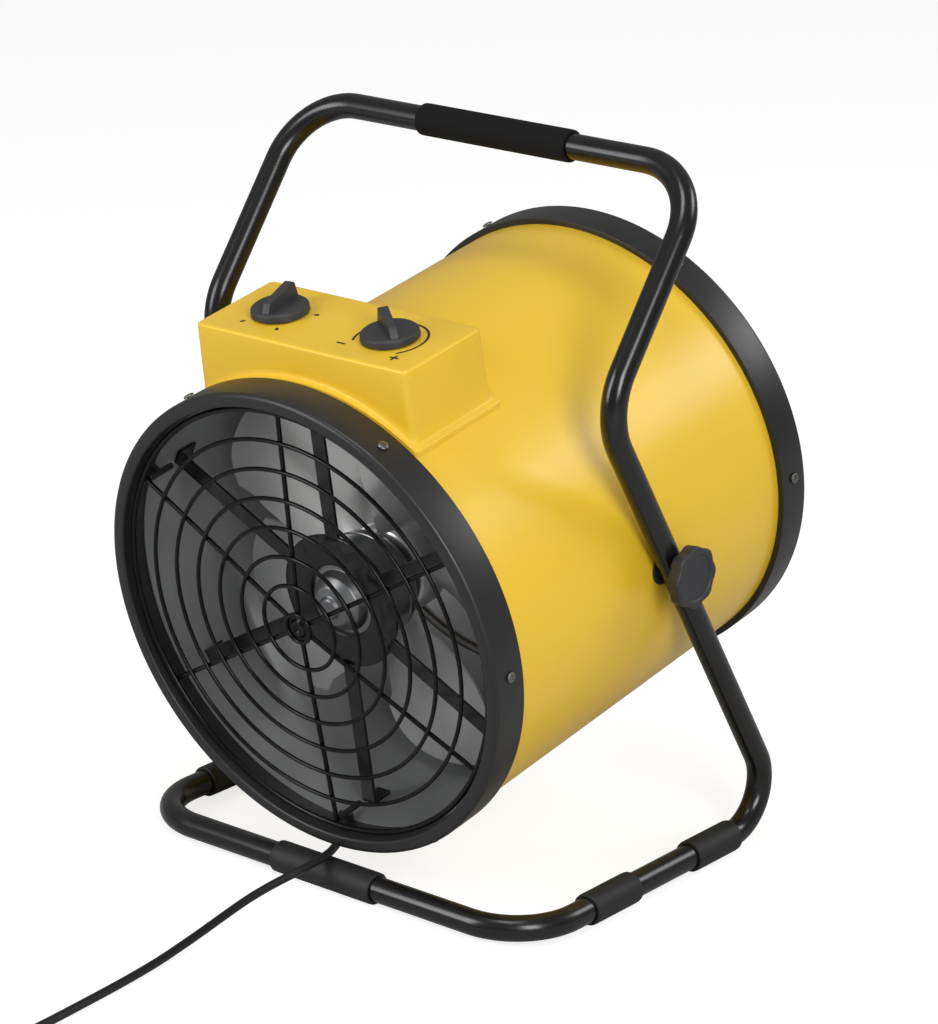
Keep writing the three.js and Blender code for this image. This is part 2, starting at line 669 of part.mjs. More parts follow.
function fanImpeller() {
  const half = HUB_LENGTH / 2;
  const bore = SHAFT_RADIUS + CLEAR;
  const hub = revolve([
    [bore, -half],
    [HUB_RADIUS - 6, -half],
    [HUB_RADIUS, 4 - half],
    [HUB_RADIUS, half - 6],
    [HUB_RADIUS - 8, half],
    [bore, half],
  ], 18);
  const blade = fanBlade();
  const turns = Array.from({ length: FAN_BLADES }, (_, i) => FAN_TURN + ((i + 0.5) * 360) / FAN_BLADES);
  const blades = turns.map((degrees) => roundDrum(blade, degrees));
  return placed(joined(hub, ...blades), [0, fanMiddle, 0]);
}

function fanNut() {
  const shape = shapeOf(polygon(FAN_NUT_RADIUS, 6), polygon(SHAFT_RADIUS + CLEAR, 12));
  return placed(plate(shape, FAN_NUT_LENGTH), [0, fanMiddle + HUB_LENGTH / 2 + CLEAR, 0], [-90, 0, 0]);
}

// ---------------------------------------------------------------- heating elements
// A tube that comes down from the duct's crown, runs once round the drum and goes up again.
function heatingElement(radius, along) {
  const spread = ELEMENT_LEG + ELEMENT_BEND;
  const bendHeight = Math.sqrt((radius + ELEMENT_BEND) ** 2 - spread ** 2);
  const meeting = THREE.MathUtils.radToDeg(Math.atan2(spread, bendHeight));
  const top = ductRadius * facetFlat - 2;
  const leg = [[ELEMENT_LEG, top], ...arc([spread, bendHeight], ELEMENT_BEND, 180, 270 - meeting, 2)];
  const quarter = (from, to) => arc([0, 0], radius, from, to, 5).slice(1);
  const right = [...leg, ...quarter(90 - meeting, 0), ...quarter(0, -90)];
  const left = right.slice(0, -1).reverse().map(([x, z]) => [-x, z]);
  const stations = [...right, ...left].map(([x, z]) => v3(x, along, z));
  return tubeAlong(stations, shapeOf(polygon(ELEMENT_TUBE, 6)));
}

// A comb of sheet along the duct, with one tongue for each element.
function elementSupport(degrees) {
  const foot = ductRadius * facetFlat - CLEAR;
  const strip = foot - SUPPORT_STRIP;
  const half = SUPPORT_TONGUE / 2;
  const outline = [v2(foot, ELEMENT_PLACES[0] - half)];
  ELEMENT_PLACES.forEach((place, i) => {
    const tip = ELEMENT_RADII[i] - SUPPORT_TIP;
    outline.push(v2(strip, place - half), v2(tip, place - half));
    outline.push(v2(tip, place + half), v2(strip, place + half));
  });
  outline.push(v2(foot, ELEMENT_PLACES[ELEMENT_PLACES.length - 1] + half));
  const eye = (place, i) => {
    const spots = flatSided(ELEMENT_TUBE + CLEAR, 6);
    return spots.map((spot) => spot.add(v2(ELEMENT_RADII[i], place)));
  };
  const sheet = plate(shapeOf(outline, ...ELEMENT_PLACES.map(eye)), SUPPORT_SHEET);
  return placed(placed(sheet, [0, 0, -SUPPORT_SHEET / 2]), [0, 0, 0], [0, degrees - 90, 0]);
}

function thermalCutout() {
  const seat = ductRadius * facetFlat - CLEAR;
  const cap = revolveUpright([
    [0, seat - CUTOUT_RISE],
    [CUTOUT_RADIUS - 2, seat - CUTOUT_RISE],
    [CUTOUT_RADIUS - 2, seat - 4],
    [CUTOUT_RADIUS, seat - 4],
    [CUTOUT_RADIUS, seat],
    [0, seat],
  ], 10);
  return roundDrum(placed(cap, [0, CUTOUT_PLACE, 0]), CUTOUT_TURN);
}

// ---------------------------------------------------------------- control box

// The box as a solid block: a rounded top edge and drafted sides, made smaller by an inset.
function boxBlock(inset) {
  const top = boxTop - inset;
  const [halfX, halfY] = BOX_TOP;
  const edge = Math.max(BOX_EDGE - inset, 0.8);
  const corner = Math.max(BOX_CORNER - inset, 2);
  const level = (height, grow) => {
    return roundedOutline(halfX + grow - inset, halfY + grow - inset, corner, height, boxPlace);
  };
  return loft([
    level(boxTop - BOX_FOOT_DROP, BOX_DRAFT),
    level(top - edge, 0),
    level(top - 0.3 * edge, -0.3 * edge),
    level(top, -edge),
  ]);
}

// Everything inside a radius round the drum's axis, over the length of the box.
function drumCore(radius) {
  const length = 2 * (boxHalf + BOX_CORNER);
  return placed(new THREE.CylinderGeometry(radius, radius, length, ROUND_STEPS), [0, boxPlace, 0]);
}

// The cover: an open shell that sits on the drum, with a flange round its foot and two stem holes.
function controlBox() {
  const seat = SHELL_RADIUS + CLEAR;
  const [halfX, halfY] = BOX_TOP;
  const reach = BOX_DRAFT + FLANGE_WIDTH;
  const corner = BOX_CORNER + FLANGE_WIDTH;
  const foot = (height) => roundedOutline(halfX + reach, halfY + reach, corner, height, boxPlace);
  const skirt = loft([foot(boxTop - BOX_FOOT_DROP - 6), foot(boxTop - 1)]);
  const flange = common(skirt, cut(drumCore(seat + FLANGE_THICK), drumCore(seat)));
  const stemHole = roundBar(STEM_RADIUS + STEM_HOLE_GAP, boxTop - 2 * BOX_WALL, boxTop + 1, 12);
  const holes = [-1, 1].map((side) => placed(stemHole, [side * KNOB_HALF_PITCH, knobPlace, 0]));
  const shell = joined(cut(boxBlock(0), drumCore(seat)), flange);
  return cut(shell, boxBlock(BOX_WALL), ...holes);
}

// A knob standing on Z 0 over its stem: a disc with a wedge-shaped grip, its low end towards -Y.
function controlKnob() {
  const crown = KNOB_STANDOFF + KNOB_DISC;
  const stemFoot = CLEAR - BOX_WALL - CLEAR;
  const disc = revolveUpright([
    [0, stemFoot],
    [STEM_RADIUS, stemFoot],
    [STEM_RADIUS, KNOB_STANDOFF],
    [KNOB_RADIUS - 1, KNOB_STANDOFF],
    [KNOB_RADIUS, KNOB_STANDOFF + 1],
    [KNOB_RADIUS, crown - 2],
    [KNOB_RADIUS - 2.2, crown],
    [0, crown],
  ], 20);
  const reach = KNOB_RADIUS - 0.6;
  const side = shapeOf([
    v2(-reach, crown - 2),
    v2(reach, crown - 2),
    v2(reach - 1.5, crown + KNOB_GRIP_HIGH - 1),
    v2(reach - 3, crown + KNOB_GRIP_HIGH),
    v2(3 - reach, crown + KNOB_GRIP_LOW),
    v2(-reach, crown + KNOB_GRIP_LOW - 2),
  ]);
  const grip = placed(plate(side, KNOB_GRIP_WIDTH), [-KNOB_GRIP_WIDTH / 2, 0, 0], [90, 90, 0]);
  const inside = revolveUpright([[0, 0], [KNOB_RADIUS - 0.3, 0], [KNOB_RADIUS - 0.3, 40], [0, 40]], 20);
  return joined(disc, common(grip, inside));
}

// A switch body hung under the box's top, with a collar round the stem and solder tags below.
function switchBody([sizeX, sizeY, sizeZ]) {
  const top = -BOX_WALL - CLEAR;
  const body = block([sizeX, sizeY, sizeZ - 3], [0, 0, top - (sizeZ - 3) / 2]);
  const tag = block([5, 1.2, 5], [0, 0, top - sizeZ + 1.5]);
  const tags = [-1, 1].flatMap((x) => [-1, 1].map((y) => placed(tag, [(x * sizeX) / 3.4, (y * sizeY) / 4, 0])));
  const socket = roundBar(STEM_RADIUS + CLEAR, top - 3, top + 1, 12);
  return cut(joined(body, ...tags), socket);
}

function terminalBlock() {
  const [sizeX, sizeY, sizeZ] = TERMINAL_SIZE;
  const seat = SHELL_RADIUS + CLEAR;
  const pitch = sizeY / TERMINAL_WAYS;
  const base = block([sizeX, sizeY, sizeZ - 4], [0, boxPlace, seat + (sizeZ - 4) / 2]);
  const ways = Array.from({ length: TERMINAL_WAYS }, (_, i) => {
    const along = boxPlace + (i + 0.5) * pitch - sizeY / 2;
    return block([sizeX - 5, pitch - 2, 6], [0, along, seat + sizeZ - 3]);
  });
  return joined(base, ...ways);
}

// ---------------------------------------------------------------- stand
// One half of the stand, from the middle of the handle to the middle of the front bar.
function frameTube(side) {
  const x = side * standHalf;
  const corners = [
    v3(side * (CLEAR / 2), HANDLE[0], HANDLE[1]),
    v3(x, HANDLE[0], HANDLE[1]),
    v3(x, WAIST[0], WAIST[1]),
    v3(x, REAR_CORNER, 0),
    v3(x, frontBar, 0),
    v3(side * (CLEAR / 2), frontBar, 0),
  ];
  const route = bentRoute(corners, [HANDLE_BEND, WAIST_BEND, HEEL_BEND, CORNER_BEND]);
  const section = shapeOf(polygon(TUBE_RADIUS, TUBE_SIDES), polygon(TUBE_RADIUS - TUBE_WALL, BORE_SIDES));
  const hole = new THREE.CylinderGeometry(BOLT_RADIUS + RUNNING, BOLT_RADIUS + RUNNING, 4 * TUBE_RADIUS, 12);
  return cut(tubeAlong(route, section), placed(hole, [x, 0, pivotRise], [0, 0, 90]));
}

// A straight tube about the X axis, with a flat at the bottom inside and out.
function sleeve(length, outer, inner, sides) {
  const shape = shapeOf(flatSided(outer, sides), flatSided(inner, sides));
  return placed(plate(shape, length), [-length / 2, 0, 0], [90, 90, 0]);
}

const overTube = (length) => sleeve(length, SLEEVE_REACH, TUBE_RADIUS + CLEAR, SLEEVE_SIDES);

// A spigot inside the two half tubes where they meet.
function joiner() {
  const reach = (TUBE_RADIUS - TUBE_WALL) * Math.cos(Math.PI / BORE_SIDES) - CLEAR;
  const radius = reach * Math.cos(Math.PI / BORE_SIDES);
  return sleeve(JOINER_LENGTH, radius, radius - JOINER_WALL, BORE_SIDES);
}

function stand() {
  const sleeveAt = (name, geometry, position, turned, material) => {
    return groupOf([piece(name, geometry, material)], position, [0, 0, turned]);
  };
  const pieces = [
    piece("frame_tube_left", frameTube(-1), BLACK_PAINT),
    piece("frame_tube_right", frameTube(1), BLACK_PAINT),
    sleeveAt("handle_grip", overTube(GRIP_LENGTH), [0, ...HANDLE], 0, BLACK_RUBBER),
    sleeveAt("front_sleeve", overTube(FRONT_SLEEVE_LENGTH), [0, frontBar, 0], 0, BLACK_RUBBER),
    sleeveAt("handle_joiner", joiner(), [0, ...HANDLE], 0, BLACK_PAINT),
    sleeveAt("front_joiner", joiner(), [0, frontBar, 0], 0, BLACK_PAINT),
  ];
  const ends = ["front", "rear"];
  for (const [sideName, side] of [["left", -1], ["right", 1]]) {
    ends.forEach((end, i) => {
      const spot = [side * standHalf, FOOT_SLEEVE_PLACES[i], 0];
      const name = `foot_sleeve_${sideName}_${end}`;
      pieces.push(sleeveAt(name, overTube(FOOT_SLEEVE_LENGTH), spot, 90, BLACK_RUBBER));
    });
  }
  return groupOf(pieces, [0, pivotY, SLEEVE_REACH]);
}

// ---------------------------------------------------------------- pivots
// The pieces of a pivot are built about +X, out from the middle of the drum.
const aboutX = (geometry) => placed(geometry, [0, 0, 0], [0, 90, 0]);
const tubeFace = standHalf + TUBE_RADIUS;

function pivotBolt() {
  const headFace = SHELL_RADIUS - SHELL_WALL - BOLT_HEAD_GAP;
  const end = tubeFace + CLEAR + CLAMP_THICK - CLAMP_FLOOR - 2 * CLEAR;
  return aboutX(revolveUpright([
    [0, headFace - BOLT_HEAD],
    [BOLT_HEAD_RADIUS - 2, headFace - BOLT_HEAD],
    [BOLT_HEAD_RADIUS, headFace - 1],
    [BOLT_HEAD_RADIUS, headFace],
    [BOLT_RADIUS, headFace],
    [BOLT_RADIUS, end],
    [0, end],
  ], 12));
}

function pivotWasher() {
  const low = SHELL_RADIUS + CLEAR;
  const hole = BOLT_RADIUS + RUNNING;
  const high = low + WASHER_THICK;
  return aboutX(revolveUpright([[hole, low], [WASHER_RADIUS, low], [WASHER_RADIUS, high], [hole, high]], 12));
}

// A clamp knob with soft lobes, a shallow dimple on its face and a blind hole for the bolt.
function clampKnob() {
  const count = CLAMP_LOBES * 3;
  const outline = Array.from({ length: count }, (_, i) => {
    const angle = (2 * Math.PI * i) / count;
    const radius = CLAMP_RADIUS - CLAMP_ROUNDING + CLAMP_LOBE * Math.cos(CLAMP_LOBES * angle);
    return v2(radius * Math.cos(angle), radius * Math.sin(angle));
  });
  const depth = CLAMP_THICK - 2 * CLAMP_ROUNDING;
  const options = { depth, bevelThickness: CLAMP_ROUNDING, bevelSize: CLAMP_ROUNDING, bevelSegments: 1 };
  const low = tubeFace + CLEAR;
  const body = placed(new THREE.ExtrudeGeometry(shapeOf(outline), options), [0, 0, low + CLAMP_ROUNDING]);
  const high = low + CLAMP_THICK;
  const dimple = roundBar(CLAMP_DIMPLE, high - CLAMP_DIMPLE_DEPTH, high + 1, 18);
  const hole = roundBar(BOLT_RADIUS + RUNNING, low - 1, high - CLAMP_FLOOR, 10);
  return aboutX(cut(body, dimple, hole));
}

function pivotPieces(build, name, material) {
  return [
    piece(`${name}_right`, build(), material),
    groupOf([piece(`${name}_left`, build(), material)], [0, 0, 0], [0, 0, 180]),
  ];
}

// ---------------------------------------------------------------- cord
// The gland on the drum's underside: a spigot through the shell, a nut and a tapered relief.
function cableGland() {
  const seat = SHELL_RADIUS + CLEAR;
  const spigotEnd = ductOuter + 1;
  const nutTop = seat + GLAND_NUT;
  const tip = nutTop + GLAND_TAPER;
  const bore = CORD_RADIUS + CLEAR;
  const body = revolveUpright([
    [0, spigotEnd],
    [GLAND_SPIGOT, spigotEnd],
    [GLAND_SPIGOT, seat],
    [GLAND_NUT_RADIUS, seat],
    [GLAND_NUT_RADIUS, nutTop],
    [GLAND_NUT_RADIUS - 3, nutTop + 1],
    [GLAND_TIP_RADIUS, tip],
    [0, tip],
  ], 10);
  const gland = cut(body, roundBar(bore, tip - 2, tip + 1, 8));
  return roundDrum(placed(gland, [0, GLAND_PLACE, 0]), 180 + GLAND_TURN);
}

// The free stretch from the gland to the coil, a smooth curve through the chosen points.
function powerCord() {
  const curve = new THREE.CatmullRomCurve3(CORD_POINTS.map((point) => v3(...point)), false, "centripetal");
  const middle = curve.getSpacedPoints(36);
  const end = v3(COIL_CENTRE[0] - coilOuter, COIL_CENTRE[1] + 2 * CORD_RADIUS + CLEAR, CORD_REST);
  const before = end.clone().add(v3(0, 14, 0));
  return tubeAlong([...middle, before, end], shapeOf(polygon(CORD_RADIUS, CORD_SIDES)));
}

const coilOuter = COIL_INNER + (COIL_TURNS / 2) * COIL_PITCH;

// Middle line of the coil: in at a steady rate on the floor, up a layer in the half turn where it reverses,
// and out again.
function coilLine() {
  const half = COIL_TURNS / 2;
  const steps = Math.round(COIL_TURNS * COIL_STEPS);
  const points = [];
  for (let i = 0; i <= steps; i++) {
    const turns = (COIL_TURNS * i) / steps;
    const radius = COIL_INNER + COIL_PITCH * Math.abs(turns - half);
    const climb = THREE.MathUtils.clamp((turns - half) * 2 + 0.5, 0, 1);
    const lift = COIL_END_RISE * THREE.MathUtils.smoothstep(turns, COIL_TURNS - 0.25, COIL_TURNS);
    const angle = Math.PI + 2 * Math.PI * turns;
    const height = CORD_REST + COIL_PITCH * climb + lift;
    const spot = v3(radius * Math.cos(angle), radius * Math.sin(angle), height);
    points.push(spot.add(v3(...COIL_CENTRE, 0)));
  }
  const lead = points[0].clone().add(v3(0, 2 * CORD_RADIUS, 0));
  const tail = points[steps].clone().add(v3(2 * CORD_RADIUS, 0, 0));
  return [lead, ...points, tail];
}

// The least gap between turns, measured on the line's points.
function leastCoilGap(points) {
  let least = Infinity;
  const apart = COIL_STEPS / 2;
  points.forEach((point, i) => {
    for (let k = i + apart; k < points.length; k++) least = Math.min(least, point.distanceTo(points[k]));
  });
  return least - 2 * CORD_RADIUS;
}

function cordCoil() {
  const line = coilLine();
  console.log(`least gap between the coil's turns: ${leastCoilGap(line).toFixed(2)} mm`);
  return tubeAlong(line, shapeOf(polygon(CORD_RADIUS, COIL_SIDES)));
}

// A plain plug with two round pins, lying on its flat side, its neck towards -X.
function mainsPlug() {
  const neckEnd = CLEAR;
  const shoulder = neckEnd + PLUG_NECK;
  const face = shoulder + PLUG_BODY;
  const body = placed(revolve([
    [0, neckEnd],
    [PLUG_NECK_RADIUS, neckEnd],
    [PLUG_NECK_RADIUS + 3.5, shoulder - 6],
    [PLUG_FACE_RADIUS - 4, shoulder],
    [PLUG_FACE_RADIUS, shoulder + 6],
    [PLUG_FACE_RADIUS, face - 1],
    [PLUG_FACE_RADIUS - 1, face],
    [0, face],
  ], 12), [0, 0, 0], [0, 0, -90]);
  const slab = block([2 * face, 3 * PLUG_FACE_RADIUS, 2 * PLUG_HALF_HEIGHT], [0, 0, 0]);
  const pin = placed(roundBar(PLUG_PIN_RADIUS, face - 2, face + PLUG_PIN_LENGTH, 8), [0, 0, 0], [0, 90, 0]);
  const pins = [-1, 1].map((side) => placed(pin, [0, (side * PLUG_PIN_PITCH) / 2, 0]));
  return joined(common(body, slab), ...pins);
}

function cordPieces() {
  const tail = coilLine().at(-1);
  return groupOf([
    piece("power_cord", powerCord(), BLACK_RUBBER),
    piece("cord_coil", cordCoil(), BLACK_RUBBER),
    groupOf([piece("mains_plug", mainsPlug(), BLACK_PLASTIC)], tail.toArray()),
  ]);
}

// ---------------------------------------------------------------- assembly
function drumEnd(name, sides, grain) {
  const screw = ringScrew();
  const screws = screwTurns.map((degrees, i) => {
    const spot = roundDrum(placed(screw, [0, SCREW_INSET, 0]), degrees);
    return piece(`${name}_ring_screw_${i + 1}`, spot, BRIGHT_STEEL);
  });
  return [
    piece(`${name}_ring`, endRing(), BLACK_PAINT),
    piece(`${name}_guard`, wireGuard(sides, grain), BLACK_PAINT),
    ...screws,
  ];
}

function controls() {
  const at = (side) => [side * KNOB_HALF_PITCH, knobPlace, boxTop];
  return [
    piece("control_box", controlBox(), YELLOW_PAINT),
    piece("terminal_block", terminalBlock(), CREAM_PLASTIC),
    groupOf([piece("selector_switch", switchBody(SWITCH_SIZE), CREAM_PLASTIC)], at(-1)),
    groupOf([piece("thermostat", switchBody(THERMOSTAT_SIZE), GREY_SHEET)], at(1)),
    groupOf([piece("selector_knob", controlKnob(), BLACK_PLASTIC)], at(-1), [0, 0, SELECTOR_TURN]),
    groupOf([piece("thermostat_knob", controlKnob(), BLACK_PLASTIC)], at(1), [0, 0, THERMOSTAT_TURN]),
  ];
}

function drum() {
  const elements = ELEMENT_PLACES.map((along, i) => {
    return piece(`heating_element_${i + 1}`, heatingElement(ELEMENT_RADII[i], along), BRIGHT_STEEL);
  });
  const supports = SUPPORT_TURNS.map((degrees, i) => {
    return piece(`element_support_${i + 1}`, elementSupport(degrees), GREY_SHEET);
  });
  const onAxis = groupOf([
    piece("drum_shell", drumShell(), YELLOW_PAINT),
    piece("inner_duct", innerDuct(), GREY_SHEET),
    groupOf(drumEnd("intake", 4, 0.9), [0, -INTAKE_REACH, 0]),
    groupOf(drumEnd("outlet", 4, 0.6), [0, OUTLET_REACH, 0], [0, 0, 180]),
    piece("motor_bracket", motorBracket(), BLACK_PAINT),
    piece("fan_motor", motor(), BRIGHT_STEEL),
    piece("motor_shaft", motorShaft(), BRIGHT_STEEL),
    piece("fan_impeller", fanImpeller(), GREY_SHEET),
    piece("fan_nut", fanNut(), BRIGHT_STEEL),
    ...elements,
    ...supports,
    piece("thermal_cutout", thermalCutout(), BLACK_PLASTIC),
    piece("cable_gland", cableGland(), BLACK_PLASTIC),
    ...controls(),
  ], [0, 0, AXIS_LIFT]);
  return groupOf([onAxis, ...pivotPieces(pivotBolt, "pivot_bolt", BRIGHT_STEEL)], [0, 0, 0], [TILT, 0, 0]);
}

const pivots = groupOf([
  drum(),
  ...pivotPieces(pivotWasher, "pivot_washer", BLACK_PLASTIC),
  ...pivotPieces(clampKnob, "clamp_knob", BLACK_PLASTIC),
], [0, pivotY, SLEEVE_REACH + pivotRise]);

const heater = groupOf([stand(), pivots, cordPieces()]);
export default heater;
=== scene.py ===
import json
import math

import bmesh
import bpy
from mathutils import Matrix, Vector


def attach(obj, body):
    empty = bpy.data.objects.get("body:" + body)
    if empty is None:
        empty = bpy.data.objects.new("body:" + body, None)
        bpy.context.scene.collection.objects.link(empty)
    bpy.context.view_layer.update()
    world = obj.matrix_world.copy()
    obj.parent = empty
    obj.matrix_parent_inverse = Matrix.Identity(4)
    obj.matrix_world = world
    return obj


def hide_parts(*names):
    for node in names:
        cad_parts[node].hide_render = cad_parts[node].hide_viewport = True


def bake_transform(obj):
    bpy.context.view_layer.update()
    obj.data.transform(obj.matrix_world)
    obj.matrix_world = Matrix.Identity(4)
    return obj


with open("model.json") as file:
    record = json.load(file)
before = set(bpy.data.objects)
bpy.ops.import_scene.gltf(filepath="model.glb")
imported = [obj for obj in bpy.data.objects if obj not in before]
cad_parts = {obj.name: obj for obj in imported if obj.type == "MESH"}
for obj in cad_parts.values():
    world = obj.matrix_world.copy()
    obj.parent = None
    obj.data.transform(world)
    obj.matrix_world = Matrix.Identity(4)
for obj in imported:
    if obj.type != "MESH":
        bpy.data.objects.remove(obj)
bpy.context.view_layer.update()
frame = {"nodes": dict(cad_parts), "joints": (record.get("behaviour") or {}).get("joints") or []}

# A forced air heater: a yellow drum with a fan and tubular elements, hung in a bent tube stand.
# Shapes are drawn in millimetres and become metres when a piece is made. Pieces of the drum are drawn in the
# drum's own frame: X across, Y along its axis from the pivot, Z out from the axis at the top of the drum.

MM = 0.001
JOINTS = {joint["name"]: joint for joint in frame["joints"]}
PIVOT = Vector(JOINTS["drum_tilt"]["pos_m"]) / MM
TILT = math.asin(JOINTS["fan_spin"]["axis"][2])

# ------------------------------------------------------------ sizes
AXIS_LIFT = 2.7  # drum axis above the pivot
INTAKE_REACH = 196.3  # pivot to the face of the intake ring
OUTLET_REACH = 174.2
SHELL_RADIUS = 175.2
SHELL_WALL = 1.0
SHELL_SETBACK = 8.3  # ring face to the shell's end
RING_RADIUS = 180.0
RING_FACE = 10.5
RING_WIDTH = 30.0
SKIRT_WALL = 2.0
SKIRT_DEPTH = 26.0
SCREW_INSET = 16.0
SCREWS = 6
DUCT_RADIUS = 168.4  # inside
DUCT_WALL = 0.8
DUCT_SETBACK = 22.5

GUARD_CIRCLES = (33.0, 55.0, 77.0, 99.0, 121.0, 143.0)
GUARD_RIM_RADIUS = 165.6
GUARD_HUB_RADIUS = 11.0
GUARD_RISE = 8.7
GUARD_SETBACK = 8.0
GUARD_WIRE = 1.6
GUARD_SPOKE = 1.8
GUARD_RIM_WIRE = 2.2
GUARD_SPOKES = 6
GUARD_WELD = 0.8
POSTS = 3
POST_RADIUS = 2.4
POST_REACH = (12.7, 36.7)  # depths behind the ring face

BRACKET_PLACE = -149.0
BRACKET_SHEET = 2.5
BRACKET_ARM = 12.0
BRACKET_ARMS = 6
BRACKET_HOLE = 28.0
BRACKET_PLATE = 52.0
BRACKET_FOOT = 18.0
MOTOR_BACK = -147.45
MOTOR_LENGTH = 42.0
MOTOR_RADIUS = 40.0
FAN_PLACE = 22.0  # motor face to the middle of the fan
FAN_BLADES = 5
FAN_TURN = -11.0
HUB_RADIUS = 36.0
HUB_LENGTH = 30.0
BLADE_ROOT = 32.0
BLADE_TIP = 160.4
BLADE_SHEET = 2.0
BLADE_SWEEP = 68.0
BLADE_ROOT_PITCH = 34.0
BLADE_TIP_PITCH = 26.0
BLADE_TIP_DRAW = 16.0
BLADE_CAMBER = 5.0
SHAFT_RADIUS = 5.0
ELEMENT_PLACES = (12.0, 38.0, 64.0)
ELEMENT_RADII = (126.0, 98.0, 126.0)
ELEMENT_TUBE = 4.2
ELEMENT_LEG = 22.0
ELEMENT_BEND = 16.0

BOX_TOP = 202.4  # above the drum's axis
BOX_PLACE = -115.5
BOX_HALF = (97.6, 41.2)
BOX_DRAFT = 1.9
BOX_DROP = 58.0
BOX_WALL = 1.6
BOX_CORNER = 4.6
BOX_SIDE_STEPS = 48  # along each long side, which follows the drum
BOX_EDGE = 2.2
FLANGE_WIDTH = 4.0
FLANGE_THICK = 3.0
BOX_SEAT = SHELL_RADIUS + 0.3
KNOB_HALF_PITCH = 51.0
KNOB_PLACE = -117.0
KNOB_RADIUS = 21.4
SELECTOR_TURN = 10.0
THERMOSTAT_TURN = 52.0
KNOB_CROWN = 7.0  # the disc's height
GRIP_HALF = 3.9
GRIP_FLARE = 0.045  # half the width gained for each millimetre along the grip
GRIP_TAPER = 0.018  # share of it lost for each millimetre up
PRINT_RISE = Vector((0, 0, 0.1))
SELECTOR_MARKS = (-36, 36, 108)  # degrees round the selector
THERMOSTAT_ARC = (48, 301)
MARK_LENGTH = 7.6
MARK_WIDTH = 1.7
LESS_MARK = (-27.5, -21.0)  # from the middle of the thermostat's knob
MORE_MARK = (23.5, -24.0)

TUBE_RADIUS = 9.5
TUBE_WALL = 1.5
SLEEVE_RADIUS = 12.0
RAIL_HEIGHT = 12.0  # middle of the tube above the floor
STAND_HALF = 186.3
FRONT_BAR = -165.45  # places along Y are measured from the pivot
REAR_CORNER = 140.7
WAIST = (-83.8, 365.0)
HANDLE = (28.4, 516.2)
BENDS = (52.0, 50.0, 36.0, 52.0)
GRIP_LENGTH = 138.0
FRONT_SLEEVE_LENGTH = 95.0
FOOT_SLEEVE_LENGTH = 52.0
FOOT_SLEEVE_PLACES = {"front": -72.0, "rear": 50.0}

CLAMP_FACE = 196.1  # inner face of a clamp knob, from the middle of the heater
CLAMP_THICK = 10.8
CLAMP_RADIUS = 22.6
CLAMP_LOBE = 0.9
CLAMP_LOBES = 8

CORD_RADIUS = 3.1
CORD_REST = 3.3
COIL_CENTRE = (52.9, -527.0)
COIL_INNER = 28.5
COIL_PITCH = 6.7
COIL_TURNS = 5.25
COIL_END_RISE = 3.0
GLAND_PLACE = -40.0
GLAND_TURN = 205.0  # degrees round the drum from its top
GLAND_SEAT = SHELL_RADIUS + 0.3
GLAND_NUT = 6.0
GLAND_TAPER = 21.0

ROOM_LIGHT = 0.29
FLOOR_GLOW = 0.76
FLOOR_BOUNCE = 0.55
# Place and size in metres, and power in watts.
SOFT_BOXES = {
    "right_front": ((2.5, -1.5, 1.5), (1.0, 1.5), 52),
    "right_back": ((1.7, 2.3, 1.9), (1.4, 1.0), 24),
    "top": ((0.3, -0.8, 2.9), (0.9, 0.9), 17),
    "left_front": ((-1.4, -2.6, 1.5), (1.1, 1.8), 46),
}

# The camera's place in metres, where it looks in degrees, and its lens in millimetres.
CAMERA_PLACE = (1.72436, -2.08356, 1.16122)
CAMERA_AZIMUTH = 39.51
CAMERA_ELEVATION = 18.64
CAMERA_LENS = 135.87
CAMERA_SENSOR = 36

STAND_FRAME = Matrix.Translation((0, PIVOT.y, RAIL_HEIGHT))
PIVOT_FRAME = Matrix.Translation(PIVOT)
DRUM_FRAME = PIVOT_FRAME @ Matrix.Rotation(TILT, 4, "X") @ Matrix.Translation((0, 0, AXIS_LIFT))
WORLD_FRAME = Matrix.Identity(4)


# ------------------------------------------------------------ camera
def viewing_camera():
    azimuth, elevation = math.radians(CAMERA_AZIMUTH), math.radians(CAMERA_ELEVATION)
    back = Vector((
        math.sin(azimuth) * math.cos(elevation),
        -math.cos(azimuth) * math.cos(elevation),
        math.sin(elevation),
    ))
    right = Vector((math.cos(azimuth), math.sin(azimuth), 0))
    up = back.cross(right)
    data = bpy.data.cameras.new("camera")
    data.lens = CAMERA_LENS
    data.sensor_width = CAMERA_SENSOR
    camera = bpy.data.objects.new("camera", data)
    bpy.context.scene.collection.objects.link(camera)
    turn = Matrix((right, up, back)).transposed().to_4x4()
    camera.matrix_world = Matrix.Translation(CAMERA_PLACE) @ turn
    bpy.context.scene.camera = camera


viewing_camera()


# ------------------------------------------------------------ shapes
# A shape is a pair: a list of points in millimetres and a list of faces.
def softened(corners, closed=True, steps=4):
    """A flat outline whose corners are (x, y, radius), with each corner rounded."""
    points = []
    last = len(corners) - 1
    for i, (x, y, radius) in enumerate(corners):
        here = Vector((x, y))
        if radius <= 0 or (not closed and i in (0, last)):
            points.append((x, y))
            continue
        to_before = Vector(corners[i - 1][:2]) - here
        to_after = Vector(corners[(i + 1) % len(corners)][:2]) - here
        half = to_before.angle(to_after) / 2
        run = min(radius / math.tan(half), 0.48 * to_before.length, 0.48 * to_after.length)
        radius = run * math.tan(half)
        inward = (to_before.normalized() + to_after.normalized()).normalized()
        middle = here + inward * radius / math.sin(half)
        start = here + to_before.normalized() * run - middle
        end = here + to_after.normalized() * run - middle
        first = math.atan2(start.y, start.x)
        sweep = (math.atan2(end.y, end.x) - first + math.pi) % (2 * math.pi) - math.pi
        for k in range(steps + 1):
            angle = first + sweep * k / steps
            points.append((middle.x + radius * math.cos(angle), middle.y + radius * math.sin(angle)))
    return points


